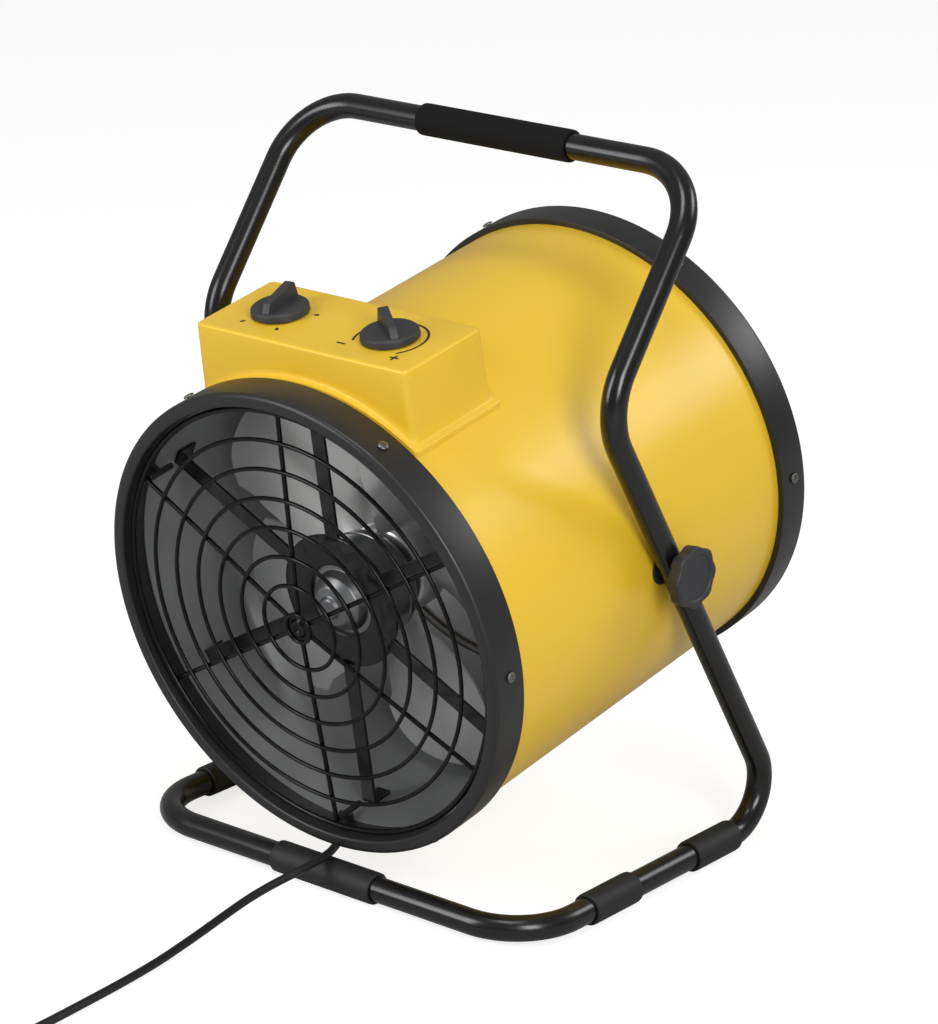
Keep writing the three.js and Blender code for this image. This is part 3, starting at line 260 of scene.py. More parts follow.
def circle(radius, sides=16, middle=(0, 0)):
    angles = [2 * math.pi * i / sides for i in range(sides)]
    return [(middle[0] + radius * math.cos(a), middle[1] + radius * math.sin(a)) for a in angles]


def skin(rings, closed=False):
    """A skin over rings of points, all of one length. An open skin gets a face over each end."""
    count = len(rings[0])
    points = [Vector(point) for ring in rings for point in ring]
    faces = []
    levels = len(rings) if closed else len(rings) - 1
    for level in range(levels):
        near, far = level * count, (level + 1) % len(rings) * count
        for i in range(count):
            k = (i + 1) % count
            faces.append([near + i, near + k, far + k, far + i])
    if not closed:
        faces.append(list(range(count)))
        faces.append([len(points) - count + i for i in range(count)])
    return points, faces


def revolve(profile, steps=128, closed=True):
    """A profile of (radius, along) points turned round Y. An open profile starts and ends on the axis."""
    points, rows = [], []
    for radius, along in profile:
        if radius < 1e-6:
            rows.append([len(points)] * steps)
            points.append(Vector((0, along, 0)))
            continue
        rows.append([len(points) + i for i in range(steps)])
        for i in range(steps):
            angle = 2 * math.pi * i / steps
            points.append(Vector((radius * math.sin(angle), along, radius * math.cos(angle))))
    if closed:
        rows.append(rows[0])
    faces = []
    for near, far in zip(rows, rows[1:]):
        for i in range(steps):
            k = (i + 1) % steps
            face = list(dict.fromkeys([near[i], near[k], far[k], far[i]]))
            if len(face) > 2:
                faces.append(face)
    return points, faces


def sections_along(path, radius, sides):
    """Rings of a round section carried along a path without twisting. The radius may be a list."""
    path = [Vector(p) for p in path]
    radii = radius if isinstance(radius, list) else [radius] * len(path)
    rings = []
    side = None
    for i, here in enumerate(path):
        way = (path[min(i + 1, len(path) - 1)] - path[max(i - 1, 0)]).normalized()
        if side is None:
            side = way.orthogonal().normalized()
        side = (side - way * side.dot(way)).normalized()
        up = way.cross(side)
        ring = [here + side * x + up * y for x, y in circle(radii[i], sides)]
        rings.append(ring)
    return rings


def rod(path, radius, sides=16):
    return skin(sections_along(path, radius, sides))


def pipe(path, radius, wall, sides=32):
    outside = sections_along(path, radius, sides)
    inside = sections_along(path, radius - wall, sides)
    return skin(outside + inside[::-1], closed=True)


def bent_path(corners, bends, degrees=5):
    """Points along straight runs, with an arc of the given radius at each inner corner."""
    points = [Vector(corners[0])]
    for i, radius in enumerate(bends):
        corner = Vector(corners[i + 1])
        back = (Vector(corners[i]) - corner).normalized()
        ahead = (Vector(corners[i + 2]) - corner).normalized()
        half = back.angle(ahead) / 2
        middle = corner + (back + ahead).normalized() * radius / math.sin(half)
        start = corner + back * radius / math.tan(half) - middle
        pole = start.cross(back).normalized()
        sweep = math.pi - 2 * half
        steps = math.ceil(math.degrees(sweep) / degrees)
        for k in range(steps + 1):
            points.append(middle + Matrix.Rotation(-sweep * k / steps, 3, pole) @ start)
    points.append(Vector(corners[-1]))
    return points


def slab(low, high):
    """A box between two corners."""
    ring = [(low[0], low[1]), (high[0], low[1]), (high[0], high[1]), (low[0], high[1])]
    return skin([[(x, y, low[2]) for x, y in ring], [(x, y, high[2]) for x, y in ring]])


def moved(shape, place):
    points, faces = shape
    return [place @ Vector(p) for p in points], faces


def shifted(shape, x=0, y=0, z=0):
    return moved(shape, Matrix.Translation((x, y, z)))


def round_drum(shape, degrees):
    """Turned round the drum's axis, from its top towards +X."""
    return moved(shape, Matrix.Rotation(math.radians(degrees), 4, "Y"))


def copies_round(shape, count, first=0):
    return [round_drum(shape, first + 360 * i / count) for i in range(count)]


def upright(shape):
    """From the Y axis to the Z axis."""
    return moved(shape, Matrix.Rotation(math.pi / 2, 4, "X"))


def sideways(shape, side):
    """From the Y axis to the X axis, on the right with side 1 and on the left with side -1."""
    return moved(shape, Matrix.Rotation(-side * math.pi / 2, 4, "Z"))


def piece(name, body, material, shapes, place=DRUM_FRAME, nodes=(), crease=35):
    """A named piece of the heater that rides on a body and stands for the given nodes."""
    points, faces = [], []
    for shape_points, shape_faces in shapes:
        start = len(points)
        points += [place @ Vector(p) * MM for p in shape_points]
        faces += [[start + i for i in face] for face in shape_faces]
    mesh = bpy.data.meshes.new(name)
    mesh.from_pydata(points, [], faces)
    work = bmesh.new()
    work.from_mesh(mesh)
    bmesh.ops.recalc_face_normals(work, faces=work.faces)
    work.to_mesh(mesh)
    work.free()
    mesh.shade_smooth()
    mesh.set_sharp_from_angle(angle=math.radians(crease))
    mesh.materials.append(material)
    made = bpy.data.objects.new(name, mesh)
    bpy.context.scene.collection.objects.link(made)
    if body:
        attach(made, body)
    if nodes:
        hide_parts(*nodes)
    return made


def edge_rounding(made, width, segments=2, angle=35):
    modifier = made.modifiers.new("edges", "BEVEL")
    modifier.width = width * MM
    modifier.segments = segments
    modifier.limit_method = "ANGLE"
    modifier.angle_limit = math.radians(angle)
    return made


# ------------------------------------------------------------ materials
def colour(red, green, blue):
    """A screen colour, 0 to 255, as linear light."""
    def linear(value):
        share = value / 255
        return share / 12.92 if share <= 0.04045 else ((share + 0.055) / 1.055) ** 2.4
    return (linear(red), linear(green), linear(blue), 1)


def add(tree, kind, inputs=None, **settings):
    made = tree.nodes.new(kind)
    for key, value in settings.items():
        setattr(made, key, value)
    for key, value in (inputs or {}).items():
        if isinstance(value, bpy.types.NodeSocket):
            tree.links.new(value, made.inputs[key])
        else:
            made.inputs[key].default_value = value
    return made


def group(name, inputs, outputs):
    """A shader node group with its input and output nodes."""
    tree = bpy.data.node_groups.new(name, "ShaderNodeTree")
    for label, value in inputs.items():
        socket = tree.interface.new_socket(label, in_out="INPUT", socket_type="NodeSocketFloat")
        socket.default_value = value
    for label in outputs:
        tree.interface.new_socket(label, in_out="OUTPUT", socket_type="NodeSocketFloat")
    return tree, tree.nodes.new("NodeGroupInput").outputs, tree.nodes.new("NodeGroupOutput").inputs


def surface_grain():
    """Fine relief and slow unevenness of a coated or moulded surface. Size is the grain's, in mm."""
    tree, given, put = group("surface_grain", {"Size": 1.0, "Softness": 0.5}, ("Relief", "Patches"))
    place = add(tree, "ShaderNodeTexCoord").outputs["Object"]
    scale = add(tree, "ShaderNodeMath", {0: 1000.0, 1: given["Size"]}, operation="DIVIDE").outputs[0]
    fine = add(tree, "ShaderNodeTexNoise", {
        "Vector": place, "Scale": scale, "Detail": 2.0, "Roughness": given["Softness"],
    })
    slow = add(tree, "ShaderNodeTexNoise", {"Vector": place, "Scale": 9.0, "Detail": 3.0, "Roughness": 0.55})
    tree.links.new(fine.outputs["Fac"], put["Relief"])
    tree.links.new(slow.outputs["Fac"], put["Patches"])
    return tree


def settled_dust():
    """A mask of thin dust that lies on what faces up, broken by noise."""
    tree, given, put = group("settled_dust", {"Amount": 0.1}, ("Mask",))
    normal = add(tree, "ShaderNodeNewGeometry").outputs["Normal"]
    up = add(tree, "ShaderNodeSeparateXYZ", {0: normal}).outputs["Z"]
    facing = add(tree, "ShaderNodeMapRange", {"Value": up, "From Min": 0.3, "From Max": 1.0}).outputs[0]
    place = add(tree, "ShaderNodeTexCoord").outputs["Object"]
    noise = add(tree, "ShaderNodeTexNoise", {"Vector": place, "Scale": 60.0, "Detail": 5.0}).outputs["Fac"]
    broken = add(tree, "ShaderNodeMath", {0: facing, 1: noise}, operation="MULTIPLY").outputs[0]
    made = add(tree, "ShaderNodeMath", {0: broken, 1: given["Amount"]}, operation="MULTIPLY")
    tree.links.new(made.outputs[0], put["Mask"])
    return tree


GRAIN = surface_grain()
DUST = settled_dust()
DUST_COLOUR = colour(196, 192, 184)
# Sockets of a colour mix, whose names repeat for every kind of data.
MIX_FACTOR, MIX_A, MIX_B, MIX_RESULT = 0, 6, 7, 2


def finish(name, dark, light, rough, grain, relief, dust=0.0, **constants):
    """A finish whose colour and roughness drift between two values, with a fine relief."""
    made = bpy.data.materials.new(name)
    made.use_nodes = True
    tree = made.node_tree
    shader = tree.nodes["Principled BSDF"]
    texture = add(tree, "ShaderNodeGroup", node_tree=GRAIN)
    texture.inputs["Size"].default_value = grain
    tint = add(tree, "ShaderNodeMix", data_type="RGBA")
    tree.links.new(texture.outputs["Patches"], tint.inputs[MIX_FACTOR])
    tint.inputs[MIX_A].default_value = dark
    tint.inputs[MIX_B].default_value = light
    shown = tint.outputs[MIX_RESULT]
    if dust:
        mask = add(tree, "ShaderNodeGroup", node_tree=DUST)
        mask.inputs["Amount"].default_value = dust
        dusty = add(tree, "ShaderNodeMix", data_type="RGBA")
        tree.links.new(mask.outputs["Mask"], dusty.inputs[MIX_FACTOR])
        tree.links.new(shown, dusty.inputs[MIX_A])
        dusty.inputs[MIX_B].default_value = DUST_COLOUR
        shown = dusty.outputs[MIX_RESULT]
    tree.links.new(shown, shader.inputs["Base Color"])
    roughness = add(tree, "ShaderNodeMapRange", {
        "Value": texture.outputs["Patches"], "From Min": 0.3, "From Max": 0.7,
        "To Min": rough[0], "To Max": rough[1],
    })
    tree.links.new(roughness.outputs[0], shader.inputs["Roughness"])
    bump = add(tree, "ShaderNodeBump", {
        "Height": texture.outputs["Relief"], "Strength": 1.0, "Distance": relief * MM,
    })
    tree.links.new(bump.outputs[0], shader.inputs["Normal"])
    for key, value in constants.items():
        shader.inputs[key.replace("_", " ")].default_value = value
    return made


YELLOW_PAINT = finish(
    "yellow_paint", colour(230, 187, 40), colour(237, 194, 48), (0.36, 0.44), 1.6, 0.012, dust=0.04,
    Coat_Weight=0.2, Coat_Roughness=0.22,
)
BLACK_PAINT = finish(
    "black_paint", colour(9, 9, 10), colour(13, 13, 14), (0.2, 0.27), 1.4, 0.012, dust=0.02,
)
RING_PLASTIC = finish(
    "ring_plastic", colour(22, 22, 23), colour(27, 27, 28), (0.36, 0.44), 0.8, 0.02, dust=0.03,
)
GUARD_COATING = finish(
    "guard_coating", colour(6, 6, 7), colour(9, 9, 10), (0.2, 0.28), 1.0, 0.01,
    Specular_IOR_Level=0.22,
)
SLEEVE_FOAM = finish(
    "sleeve_foam", colour(14, 14, 15), colour(20, 20, 21), (0.84, 0.94), 0.7, 0.08,
    Specular_IOR_Level=0.2,
)
FOOT_RUBBER = finish(
    "foot_rubber", colour(20, 20, 21), colour(27, 27, 28), (0.55, 0.66), 0.9, 0.04,
)
CORD_RUBBER = finish(
    "cord_rubber", colour(20, 20, 21), colour(26, 26, 27), (0.42, 0.52), 0.6, 0.02,
)
KNOB_PLASTIC = finish(
    "knob_plastic", colour(38, 39, 42), colour(45, 46, 49), (0.46, 0.56), 0.5, 0.02, dust=0.04,
)
CREAM_PLASTIC = finish(
    "cream_plastic", colour(205, 198, 178), colour(218, 211, 192), (0.45, 0.55), 0.5, 0.02,
)
PRINT_INK = finish("print_ink", colour(34, 29, 20), colour(42, 36, 26), (0.5, 0.6), 0.4, 0.01)
FAN_ALUMINIUM = finish(
    "fan_aluminium", colour(206, 207, 206), colour(228, 228, 226), (0.26, 0.38), 2.5, 0.02, Metallic=0.72,
)
DUCT_SHEET = finish(
    "duct_sheet", colour(138, 139, 140), colour(160, 161, 163), (0.4, 0.52), 3.0, 0.02, Metallic=0.6,
)
MOTOR_STEEL = finish(
    "motor_steel", colour(128, 129, 131), colour(148, 149, 151), (0.3, 0.42), 1.2, 0.02, Metallic=1.0,
)
SCREW_ZINC = finish(
    "screw_zinc", colour(112, 110, 106), colour(136, 134, 130), (0.34, 0.46), 0.8, 0.02, Metallic=1.0,
)
BRIGHT_STEEL = finish(
    "bright_steel", colour(168, 170, 172), colour(190, 191, 193), (0.22, 0.32), 1.2, 0.01, Metallic=1.0,
)
ELEMENT_STEEL = finish(
    "element_steel", colour(138, 134, 128), colour(166, 162, 156), (0.24, 0.36), 1.2, 0.015, Metallic=1.0,
)


# ------------------------------------------------------------ cord
# The middle line from the gland to the coil, in metres.
CORD_POINTS = [
    (-0.0855, 0.0034, 0.0556), (-0.0886, 0.0046, 0.0492), (-0.0915, 0.0052, 0.0430),
    (-0.0942, 0.0040, 0.0350), (-0.0954, 0.0002, 0.0270), (-0.0948, -0.0065, 0.0194),
    (-0.0920, -0.0155, 0.0130), (-0.0870, -0.0265, 0.0082), (-0.0796, -0.0395, 0.0050),
    (-0.0700, -0.0540, 0.0040), (-0.0590, -0.0690, 0.0046), (-0.0476, -0.0840, 0.0070),
    (-0.0362, -0.0990, 0.0112), (-0.0250, -0.1135, 0.0166), (-0.0146, -0.1270, 0.0218),
    (-0.0056, -0.1400, 0.0258), (0.0012, -0.1540, 0.0276), (0.0030, -0.1686, 0.0269),
    (0.0020, -0.1836, 0.0250), (-0.0015, -0.1986, 0.0222), (-0.0048, -0.2136, 0.0192),
    (-0.0070, -0.2286, 0.0162), (-0.0080, -0.2436, 0.0132), (-0.0082, -0.2616, 0.0099),
    (-0.0076, -0.2816, 0.0068), (-0.0060, -0.3036, 0.0046), (-0.0030, -0.3286, 0.0035),
    (0.0008, -0.3646, 0.0033), (0.0035, -0.4036, 0.0033), (0.0056, -0.4450, 0.0033),
    (0.0066, -0.4900, 0.0033),
]


def smooth_line(points, steps=5):
    """A centripetal Catmull-Rom curve through the points."""
    points = [Vector(p) for p in points]
    ends = [2 * points[0] - points[1]] + points + [2 * points[-1] - points[-2]]
    line = []
    for a, b, c, d in zip(ends, ends[1:], ends[2:], ends[3:]):
        t1 = (b - a).length ** 0.5
        t2 = t1 + (c - b).length ** 0.5
        t3 = t2 + (d - c).length ** 0.5
        for k in range(steps):
            t = t1 + (t2 - t1) * k / steps
            ab = a.lerp(b, t / t1)
            bc = b.lerp(c, (t - t1) / (t2 - t1))
            cd = c.lerp(d, (t - t2) / (t3 - t2))
            abc = ab.lerp(bc, t / t2)
            bcd = bc.lerp(cd, (t - t1) / (t3 - t1))
            line.append(abc.lerp(bcd, (t - t1) / (t2 - t1)))
    return line + [points[-1]]


def coil_line(steps_per_turn=60):
    """The coil: in on the floor, up a layer in the half turn where it reverses, and out again."""
    half = COIL_TURNS / 2
    steps = round(COIL_TURNS * steps_per_turn)
    line = []
    for i in range(steps + 1):
        turns = COIL_TURNS * i / steps
        radius = COIL_INNER + COIL_PITCH * abs(turns - half)
        climb = min(max((turns - half) * 2 + 0.5, 0), 1)
        share = min(max((turns - COIL_TURNS + 0.25) / 0.25, 0), 1)
        height = CORD_REST + COIL_PITCH * climb + COIL_END_RISE * share * share * (3 - 2 * share)
        angle = math.pi + 2 * math.pi * turns
        line.append(Vector((
            COIL_CENTRE[0] + radius * math.cos(angle), COIL_CENTRE[1] + radius * math.sin(angle), height,
        )))
    return line


COIL_LINE = coil_line()
CORD_END = COIL_LINE[-1] + Vector((2 * CORD_RADIUS, 0, 0))


def mains_plug():
    """A flat-sided moulded plug with a ribbed neck and two round pins, its neck towards -X."""
    stations = [
        (0.3, 4.2, 4.2), (2.0, 4.8, 4.8), (8.0, 5.4, 5.2), (14.0, 6.2, 5.8),
        (20.0, 7.4, 6.6), (24.0, 10.4, 8.6), (27.0, 13.4, 10.8), (31.0, 15.6, 12.3),
        (36.0, 16.6, 12.9), (44.0, 16.8, 13.0), (47.0, 16.6, 12.8), (48.3, 15.6, 11.8),
    ]
    def section(along, half_width, half_height):
        ring = []
        for i in range(40):
            angle = 2 * math.pi * i / 40
            x, y = math.cos(angle), math.sin(angle)
            ring.append((
                along,
                half_width * math.copysign(abs(x) ** 0.8, x),
                half_height * math.copysign(abs(y) ** 0.8, y),
            ))
        return ring
    body = skin([section(*station) for station in stations])
    ribs = []
    for radius, along in ((5.9, 5.0), (6.4, 9.5), (7.0, 14.0)):
        rib = revolve(softened([(2.9, -1, 0.3), (radius, -1, 0.6), (radius, 1, 0.6), (2.9, 1, 0.3)]), 32)
        ribs.append(shifted(sideways(rib, 1), x=along))
    pin_view = softened([(0, 47, 0), (2.4, 47, 0), (2.4, 67.3, 1.4), (0, 67.3, 0)], closed=False)
    pin = revolve(pin_view, 24, closed=False)
    pins = [shifted(sideways(pin, 1), y=side * 9.5) for side in (-1, 1)]
    place = Matrix.Translation(CORD_END)
    shapes = [body, *ribs]
    plug = piece("mains_plug_body", "stand", KNOB_PLASTIC, shapes, place, ["mains_plug"])
    return [plug, piece("mains_plug_pins", "stand", BRIGHT_STEEL, pins, place)]


def coil_tie():
    """A narrow strap round one side of the coil."""
    slack = CORD_RADIUS + 0.9
    low, high = COIL_INNER - slack, COIL_INNER + COIL_PITCH * COIL_TURNS / 2 + slack
    top = CORD_REST + COIL_PITCH + CORD_RADIUS + 0.8
    outline = softened([(low, 0.05, 3), (high, 0.05, 3), (high, top, 4), (low, top, 4)], steps=6)
    inset = softened([(low + 0.6, 0.65, 2.4), (high - 0.6, 0.65, 2.4), (high - 0.6, top - 0.6, 3.4),
                      (low + 0.6, top - 0.6, 3.4)], steps=6)
    half = 4.5
    rings = [[(x, -half, z) for x, z in outline], [(x, half, z) for x, z in outline],
             [(x, half, z) for x, z in inset], [(x, -half, z) for x, z in inset]]
    place = Matrix.Translation((*COIL_CENTRE, 0)) @ Matrix.Rotation(math.radians(-60), 4, "Z")
    strap = piece("coil_tie", "stand", SLEEVE_FOAM, [skin(rings, closed=True)], place)
    return edge_rounding(strap, 0.2)


def power_cord():
    lead = COIL_LINE[0] + Vector((0, 2 * CORD_RADIUS, 0))
    free = [point / MM for point in smooth_line(CORD_POINTS)]
    straight = [free[-1].lerp(lead, k / 8) for k in range(1, 9)]
    line = free + straight + COIL_LINE + [CORD_END]
    rings = skin(sections_along(line, CORD_RADIUS, 14))
    cord = piece("power_cord_lead", None, CORD_RUBBER, [rings], WORLD_FRAME)
    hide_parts("power_cord", "cord_coil")
    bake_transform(cord)
    mains_plug()
    coil_tie()


def cable_gland():
    """A round nut with finger ribs and a tapered, grooved relief, on the underside of the drum."""
    low, high = GLAND_SEAT, GLAND_SEAT + GLAND_NUT
    nut_view = softened([(0, low, 0), (10, low, 0.4), (10, high, 1.2), (0, high, 0)], closed=False)
    nut = upright(revolve(nut_view, 48, closed=False))
    rib = slab((9.5, -0.6, low + 1), (10.6, 0.6, high - 1.4))
    ribs = [moved(rib, Matrix.Rotation(2 * math.pi * i / 12, 4, "Z")) for i in range(12)]
    profile = [(0, low - 5, 0), (6, low - 5, 0.3), (6, high, 0)]
    grooves = 4
    for i in range(grooves):
        share = i / grooves
        radius = 7.2 + (4.7 - 7.2) * share
        start = high + GLAND_TAPER * (0.08 + 0.8 * share)
        profile += [(radius, start, 0.4), (radius - 0.3, start + 2.6, 0.5), (radius - 1.1, start + 2.8, 0.3),
                    (radius - 1.15, start + 3.9, 0.3)]
    end = high + GLAND_TAPER
    profile += [(4.5, end - 2, 0.5), (4.2, end, 0.8), (0, end, 0)]
    boot = upright(revolve(softened(profile, closed=False, steps=2), 40, closed=False))
    shapes = [round_drum(shifted(shape, y=GLAND_PLACE), GLAND_TURN) for shape in [nut, *ribs, boot]]
    piece("cable_gland_boot", "drum", KNOB_PLASTIC, shapes, nodes=["cable_gland"])


power_cord()
cable_gland()


# ------------------------------------------------------------ stand
def stand_tubes():
    for name, side in (("left", -1), ("right", 1)):
        x = side * STAND_HALF
        corners = [
            (side * 0.15, *HANDLE), (x, *HANDLE), (x, *WAIST), (x, REAR_CORNER, 0), (x, FRONT_BAR, 0),
            (side * 0.15, FRONT_BAR, 0),
        ]
        tube = pipe(bent_path(corners, BENDS), TUBE_RADIUS, TUBE_WALL)
        nodes = [f"frame_tube_{name}"]
        piece(f"stand_tube_{name}", "stand", BLACK_PAINT, [tube], STAND_FRAME, nodes)


def tube_sleeve(length, lip=1.0):
    """A sleeve about Y over the tube, its ends drawn in and a shallow step by each end."""
    half, inner = length / 2, TUBE_RADIUS + 0.1
    return revolve(softened([
        (inner, -half, 0.3), (SLEEVE_RADIUS - 0.2, -half, lip), (SLEEVE_RADIUS, -half + 3, 2),
        (SLEEVE_RADIUS, half - 3, 2), (SLEEVE_RADIUS - 0.2, half, lip), (inner, half, 0.3),
    ]), 64)


def sleeves():
    grip = shifted(sideways(tube_sleeve(GRIP_LENGTH, 1.4), 1), y=HANDLE[0], z=HANDLE[1])
    piece("handle_grip_foam", "stand", SLEEVE_FOAM, [grip], STAND_FRAME, ["handle_grip"])
    front = shifted(sideways(tube_sleeve(FRONT_SLEEVE_LENGTH), 1), y=FRONT_BAR)
    nodes = ["front_sleeve"]
    piece("front_sleeve_rubber", "stand", FOOT_RUBBER, [front], STAND_FRAME, nodes)
    for side_name, side in (("left", -1), ("right", 1)):
        for end, along in FOOT_SLEEVE_PLACES.items():
            sleeve = shifted(tube_sleeve(FOOT_SLEEVE_LENGTH), x=side * STAND_HALF, y=along)
            name = f"foot_sleeve_{side_name}_{end}"
            piece(f"{name}_rubber", "stand", FOOT_RUBBER, [sleeve], STAND_FRAME, [name])


stand_tubes()
sleeves()


# ------------------------------------------------------------ pivots
def clamp_knob():
    """A lobed knob about Y on its inner face, with a shallow dimple in the outer one."""
    count = 96
    rounding = 2.2
    def ring(shrink, height, lobes=1.0):
        points = []
        for i in range(count):
            angle = 2 * math.pi * i / count
            radius = CLAMP_RADIUS - shrink + CLAMP_LOBE * lobes * math.cos(CLAMP_LOBES * angle)
            points.append((radius * math.sin(angle), height, radius * math.cos(angle)))
        return points
    rings = [ring(8, 0, 0.2), ring(3.4, 0, 0.8)]
    for k in range(5):
        turn = math.pi / 2 * k / 4
        rings.append(ring(0.8 + rounding * 0.6 * (1 - math.sin(turn)), 1.2 * (1 - math.cos(turn))))
    for k in range(7):
        turn = math.pi / 2 * k / 6
        rings.append(ring(rounding * (1 - math.cos(turn)), CLAMP_THICK - rounding * (1 - math.sin(turn))))
    dimple = CLAMP_RADIUS - 17.6
    for inset, drop in ((-0.5, 0.0), (0.0, 0.12), (0.5, 0.7), (0.9, 1.08), (1.5, 1.2)):
        rings.append(ring(dimple + inset, CLAMP_THICK - drop, 0.0))
    return skin(rings)


def pivots():
    washer = revolve(softened([(4.4, 0, 0.1), (11.4, 0, 0.2), (11.4, 1, 0.2), (4.4, 1, 0.1)]), 64)
    head = SHELL_RADIUS - SHELL_WALL - 1.4
    bolt_view = softened([
        (0, head - 2.4, 0), (9, head - 2.4, 1.2), (9, head, 0.2), (4, head, 0.1),
        (4, CLAMP_FACE + 7, 0.4), (0, CLAMP_FACE + 7, 0),
    ], closed=False)
    bolt = revolve(bolt_view, 40, closed=False)
    bolt_frame = PIVOT_FRAME @ Matrix.Rotation(TILT, 4, "X")
    for name, side in (("left", -1), ("right", 1)):
        disc = sideways(shifted(washer, y=SHELL_RADIUS + 0.3), side)
        nodes = [f"pivot_washer_{name}"]
        piece(f"pivot_disc_{name}", "stand", KNOB_PLASTIC, [disc], PIVOT_FRAME, nodes)
        screw = sideways(bolt, side)
        nodes = [f"pivot_bolt_{name}"]
        piece(f"pivot_screw_{name}", "drum", BRIGHT_STEEL, [screw], bolt_frame, nodes)
        knob = sideways(shifted(clamp_knob(), y=CLAMP_FACE), side)
        nodes = [f"clamp_knob_{name}"]
        body = f"clamp_{name}"
        piece(f"clamp_wheel_{name}", body, KNOB_PLASTIC, [knob], PIVOT_FRAME, nodes)


pivots()


# ------------------------------------------------------------ drum casing
def shell_and_duct():
    near, far = SHELL_SETBACK - INTAKE_REACH, OUTLET_REACH - SHELL_SETBACK
    inner = SHELL_RADIUS - SHELL_WALL
    shell = revolve([(inner, near), (SHELL_RADIUS, near), (SHELL_RADIUS, far), (inner, far)], 192)
    piece("drum_skin", "drum", YELLOW_PAINT, [shell], nodes=["drum_shell"])
    near, far = DUCT_SETBACK - INTAKE_REACH, OUTLET_REACH - DUCT_SETBACK
    outer = DUCT_RADIUS + DUCT_WALL
    duct = revolve([(DUCT_RADIUS, near), (outer, near), (outer, far), (DUCT_RADIUS, far)], 160)
    piece("duct_skin", "drum", DUCT_SHEET, [duct], nodes=["inner_duct"])


def guard_depth(radius):
    return GUARD_SETBACK - GUARD_RISE * (1 - radius / GUARD_RIM_RADIUS)


def wire_circle(radius, wire):
    return revolve(circle(wire, 14, (radius, guard_depth(radius))), 144)


def end_ring():
    """The moulded ring: a rounded face, a skirt over the shell, one inside it, and posts for the guard."""
    lip = RING_RADIUS - RING_FACE
    groove = SHELL_RADIUS + 0.3
    profile = softened([
        (lip, SKIRT_DEPTH, 0.4), (lip, 0, 2.0), (RING_RADIUS, 0, 3.8), (RING_RADIUS, RING_WIDTH, 0.7),
        (groove, RING_WIDTH, 0.3), (groove, 3, 0.3), (lip + SKIRT_WALL, 3, 0.3),
        (lip + SKIRT_WALL, SKIRT_DEPTH, 0.3),
    ], steps=6)
    middle = GUARD_RIM_RADIUS - POST_RADIUS
    near, far = POST_REACH
    post_view = softened([
        (0, near, 0), (POST_RADIUS, near, 0.5), (POST_RADIUS, far, 0.5), (0, far, 0),
    ], closed=False)
    post = shifted(revolve(post_view, 24, closed=False), z=middle)
    lug = slab((-6, DUCT_SETBACK - 3.3, middle), (6, DUCT_SETBACK - 0.3, lip + 1))
    return [revolve(profile, 192), *copies_round(post, POSTS, 60), *copies_round(lug, POSTS, 60)]


def wire_guard():
    """Circles of wire on a shallow cone, spokes welded behind them, a rim and a dished middle."""
    shapes = [wire_circle(radius, GUARD_WIRE) for radius in GUARD_CIRCLES]
    shapes.append(wire_circle(GUARD_RIM_RADIUS, GUARD_RIM_WIRE))
    shapes.append(wire_circle(GUARD_HUB_RADIUS, GUARD_WIRE))
    back = GUARD_WIRE + GUARD_SPOKE - GUARD_WELD
    inner, outer = GUARD_HUB_RADIUS, GUARD_RIM_RADIUS + 1
    ends = [Vector((0, guard_depth(inner) + back, inner)), Vector((0, guard_depth(outer) + back, outer))]
    shapes += copies_round(rod(ends, GUARD_SPOKE, 14), GUARD_SPOKES)
    depth = guard_depth(GUARD_HUB_RADIUS)
    dish = softened([
        (0, depth + 0.4, 0), (2.2, depth + 0.4, 0.6), (3.6, depth - 0.9, 0.8), (5.6, depth - 0.9, 0.8),
        (7.4, depth + 1.2, 0.8), (10.2, depth + 0.6, 0), (10.2, depth + 1.8, 0.2), (7, depth + 2.8, 0.6),
        (0, depth + 2.8, 0),
    ], closed=False)
    shapes.append(revolve(dish, 64, closed=False))
    return shapes


def ring_screw():
    """A pan head with a recess, on its shank, pointing out at the top of the drum."""
    seat = RING_RADIUS + 0.3
    return upright(revolve(softened([
        (0, seat - 7, 0), (1.8, seat - 7, 0.4), (1.8, seat, 0), (4, seat, 0.3), (3.9, seat + 1.5, 0.9),
        (1.5, seat + 2.2, 0.3), (1.2, seat + 1.0, 0.2), (0, seat + 0.8, 0),
    ], closed=False), 32, closed=False))


def drum_end(name, place):
    piece(f"{name}_ring_moulding", "drum", RING_PLASTIC, end_ring(), place, [f"{name}_ring"])
    wires = wire_guard()
    piece(f"{name}_guard_wires", "drum", GUARD_COATING, wires, place, [f"{name}_guard"])
    for i in range(SCREWS):
        screw = round_drum(shifted(ring_screw(), y=SCREW_INSET), (i + 0.5) * 360 / SCREWS)
        nodes = [f"{name}_ring_screw_{i + 1}"]
        piece(f"{name}_screw_{i + 1}", "drum", SCREW_ZINC, [screw], place, nodes)


shell_and_duct()
drum_end("intake", DRUM_FRAME @ Matrix.Translation((0, -INTAKE_REACH, 0)))
drum_end("outlet", DRUM_FRAME @ Matrix.Translation((0, OUTLET_REACH, 0)) @ Matrix.Rotation(math.pi, 4, "Z"))


# ------------------------------------------------------------ motor and fan
MOTOR_FRONT = MOTOR_BACK + MOTOR_LENGTH
FAN_MIDDLE = MOTOR_FRONT + FAN_PLACE


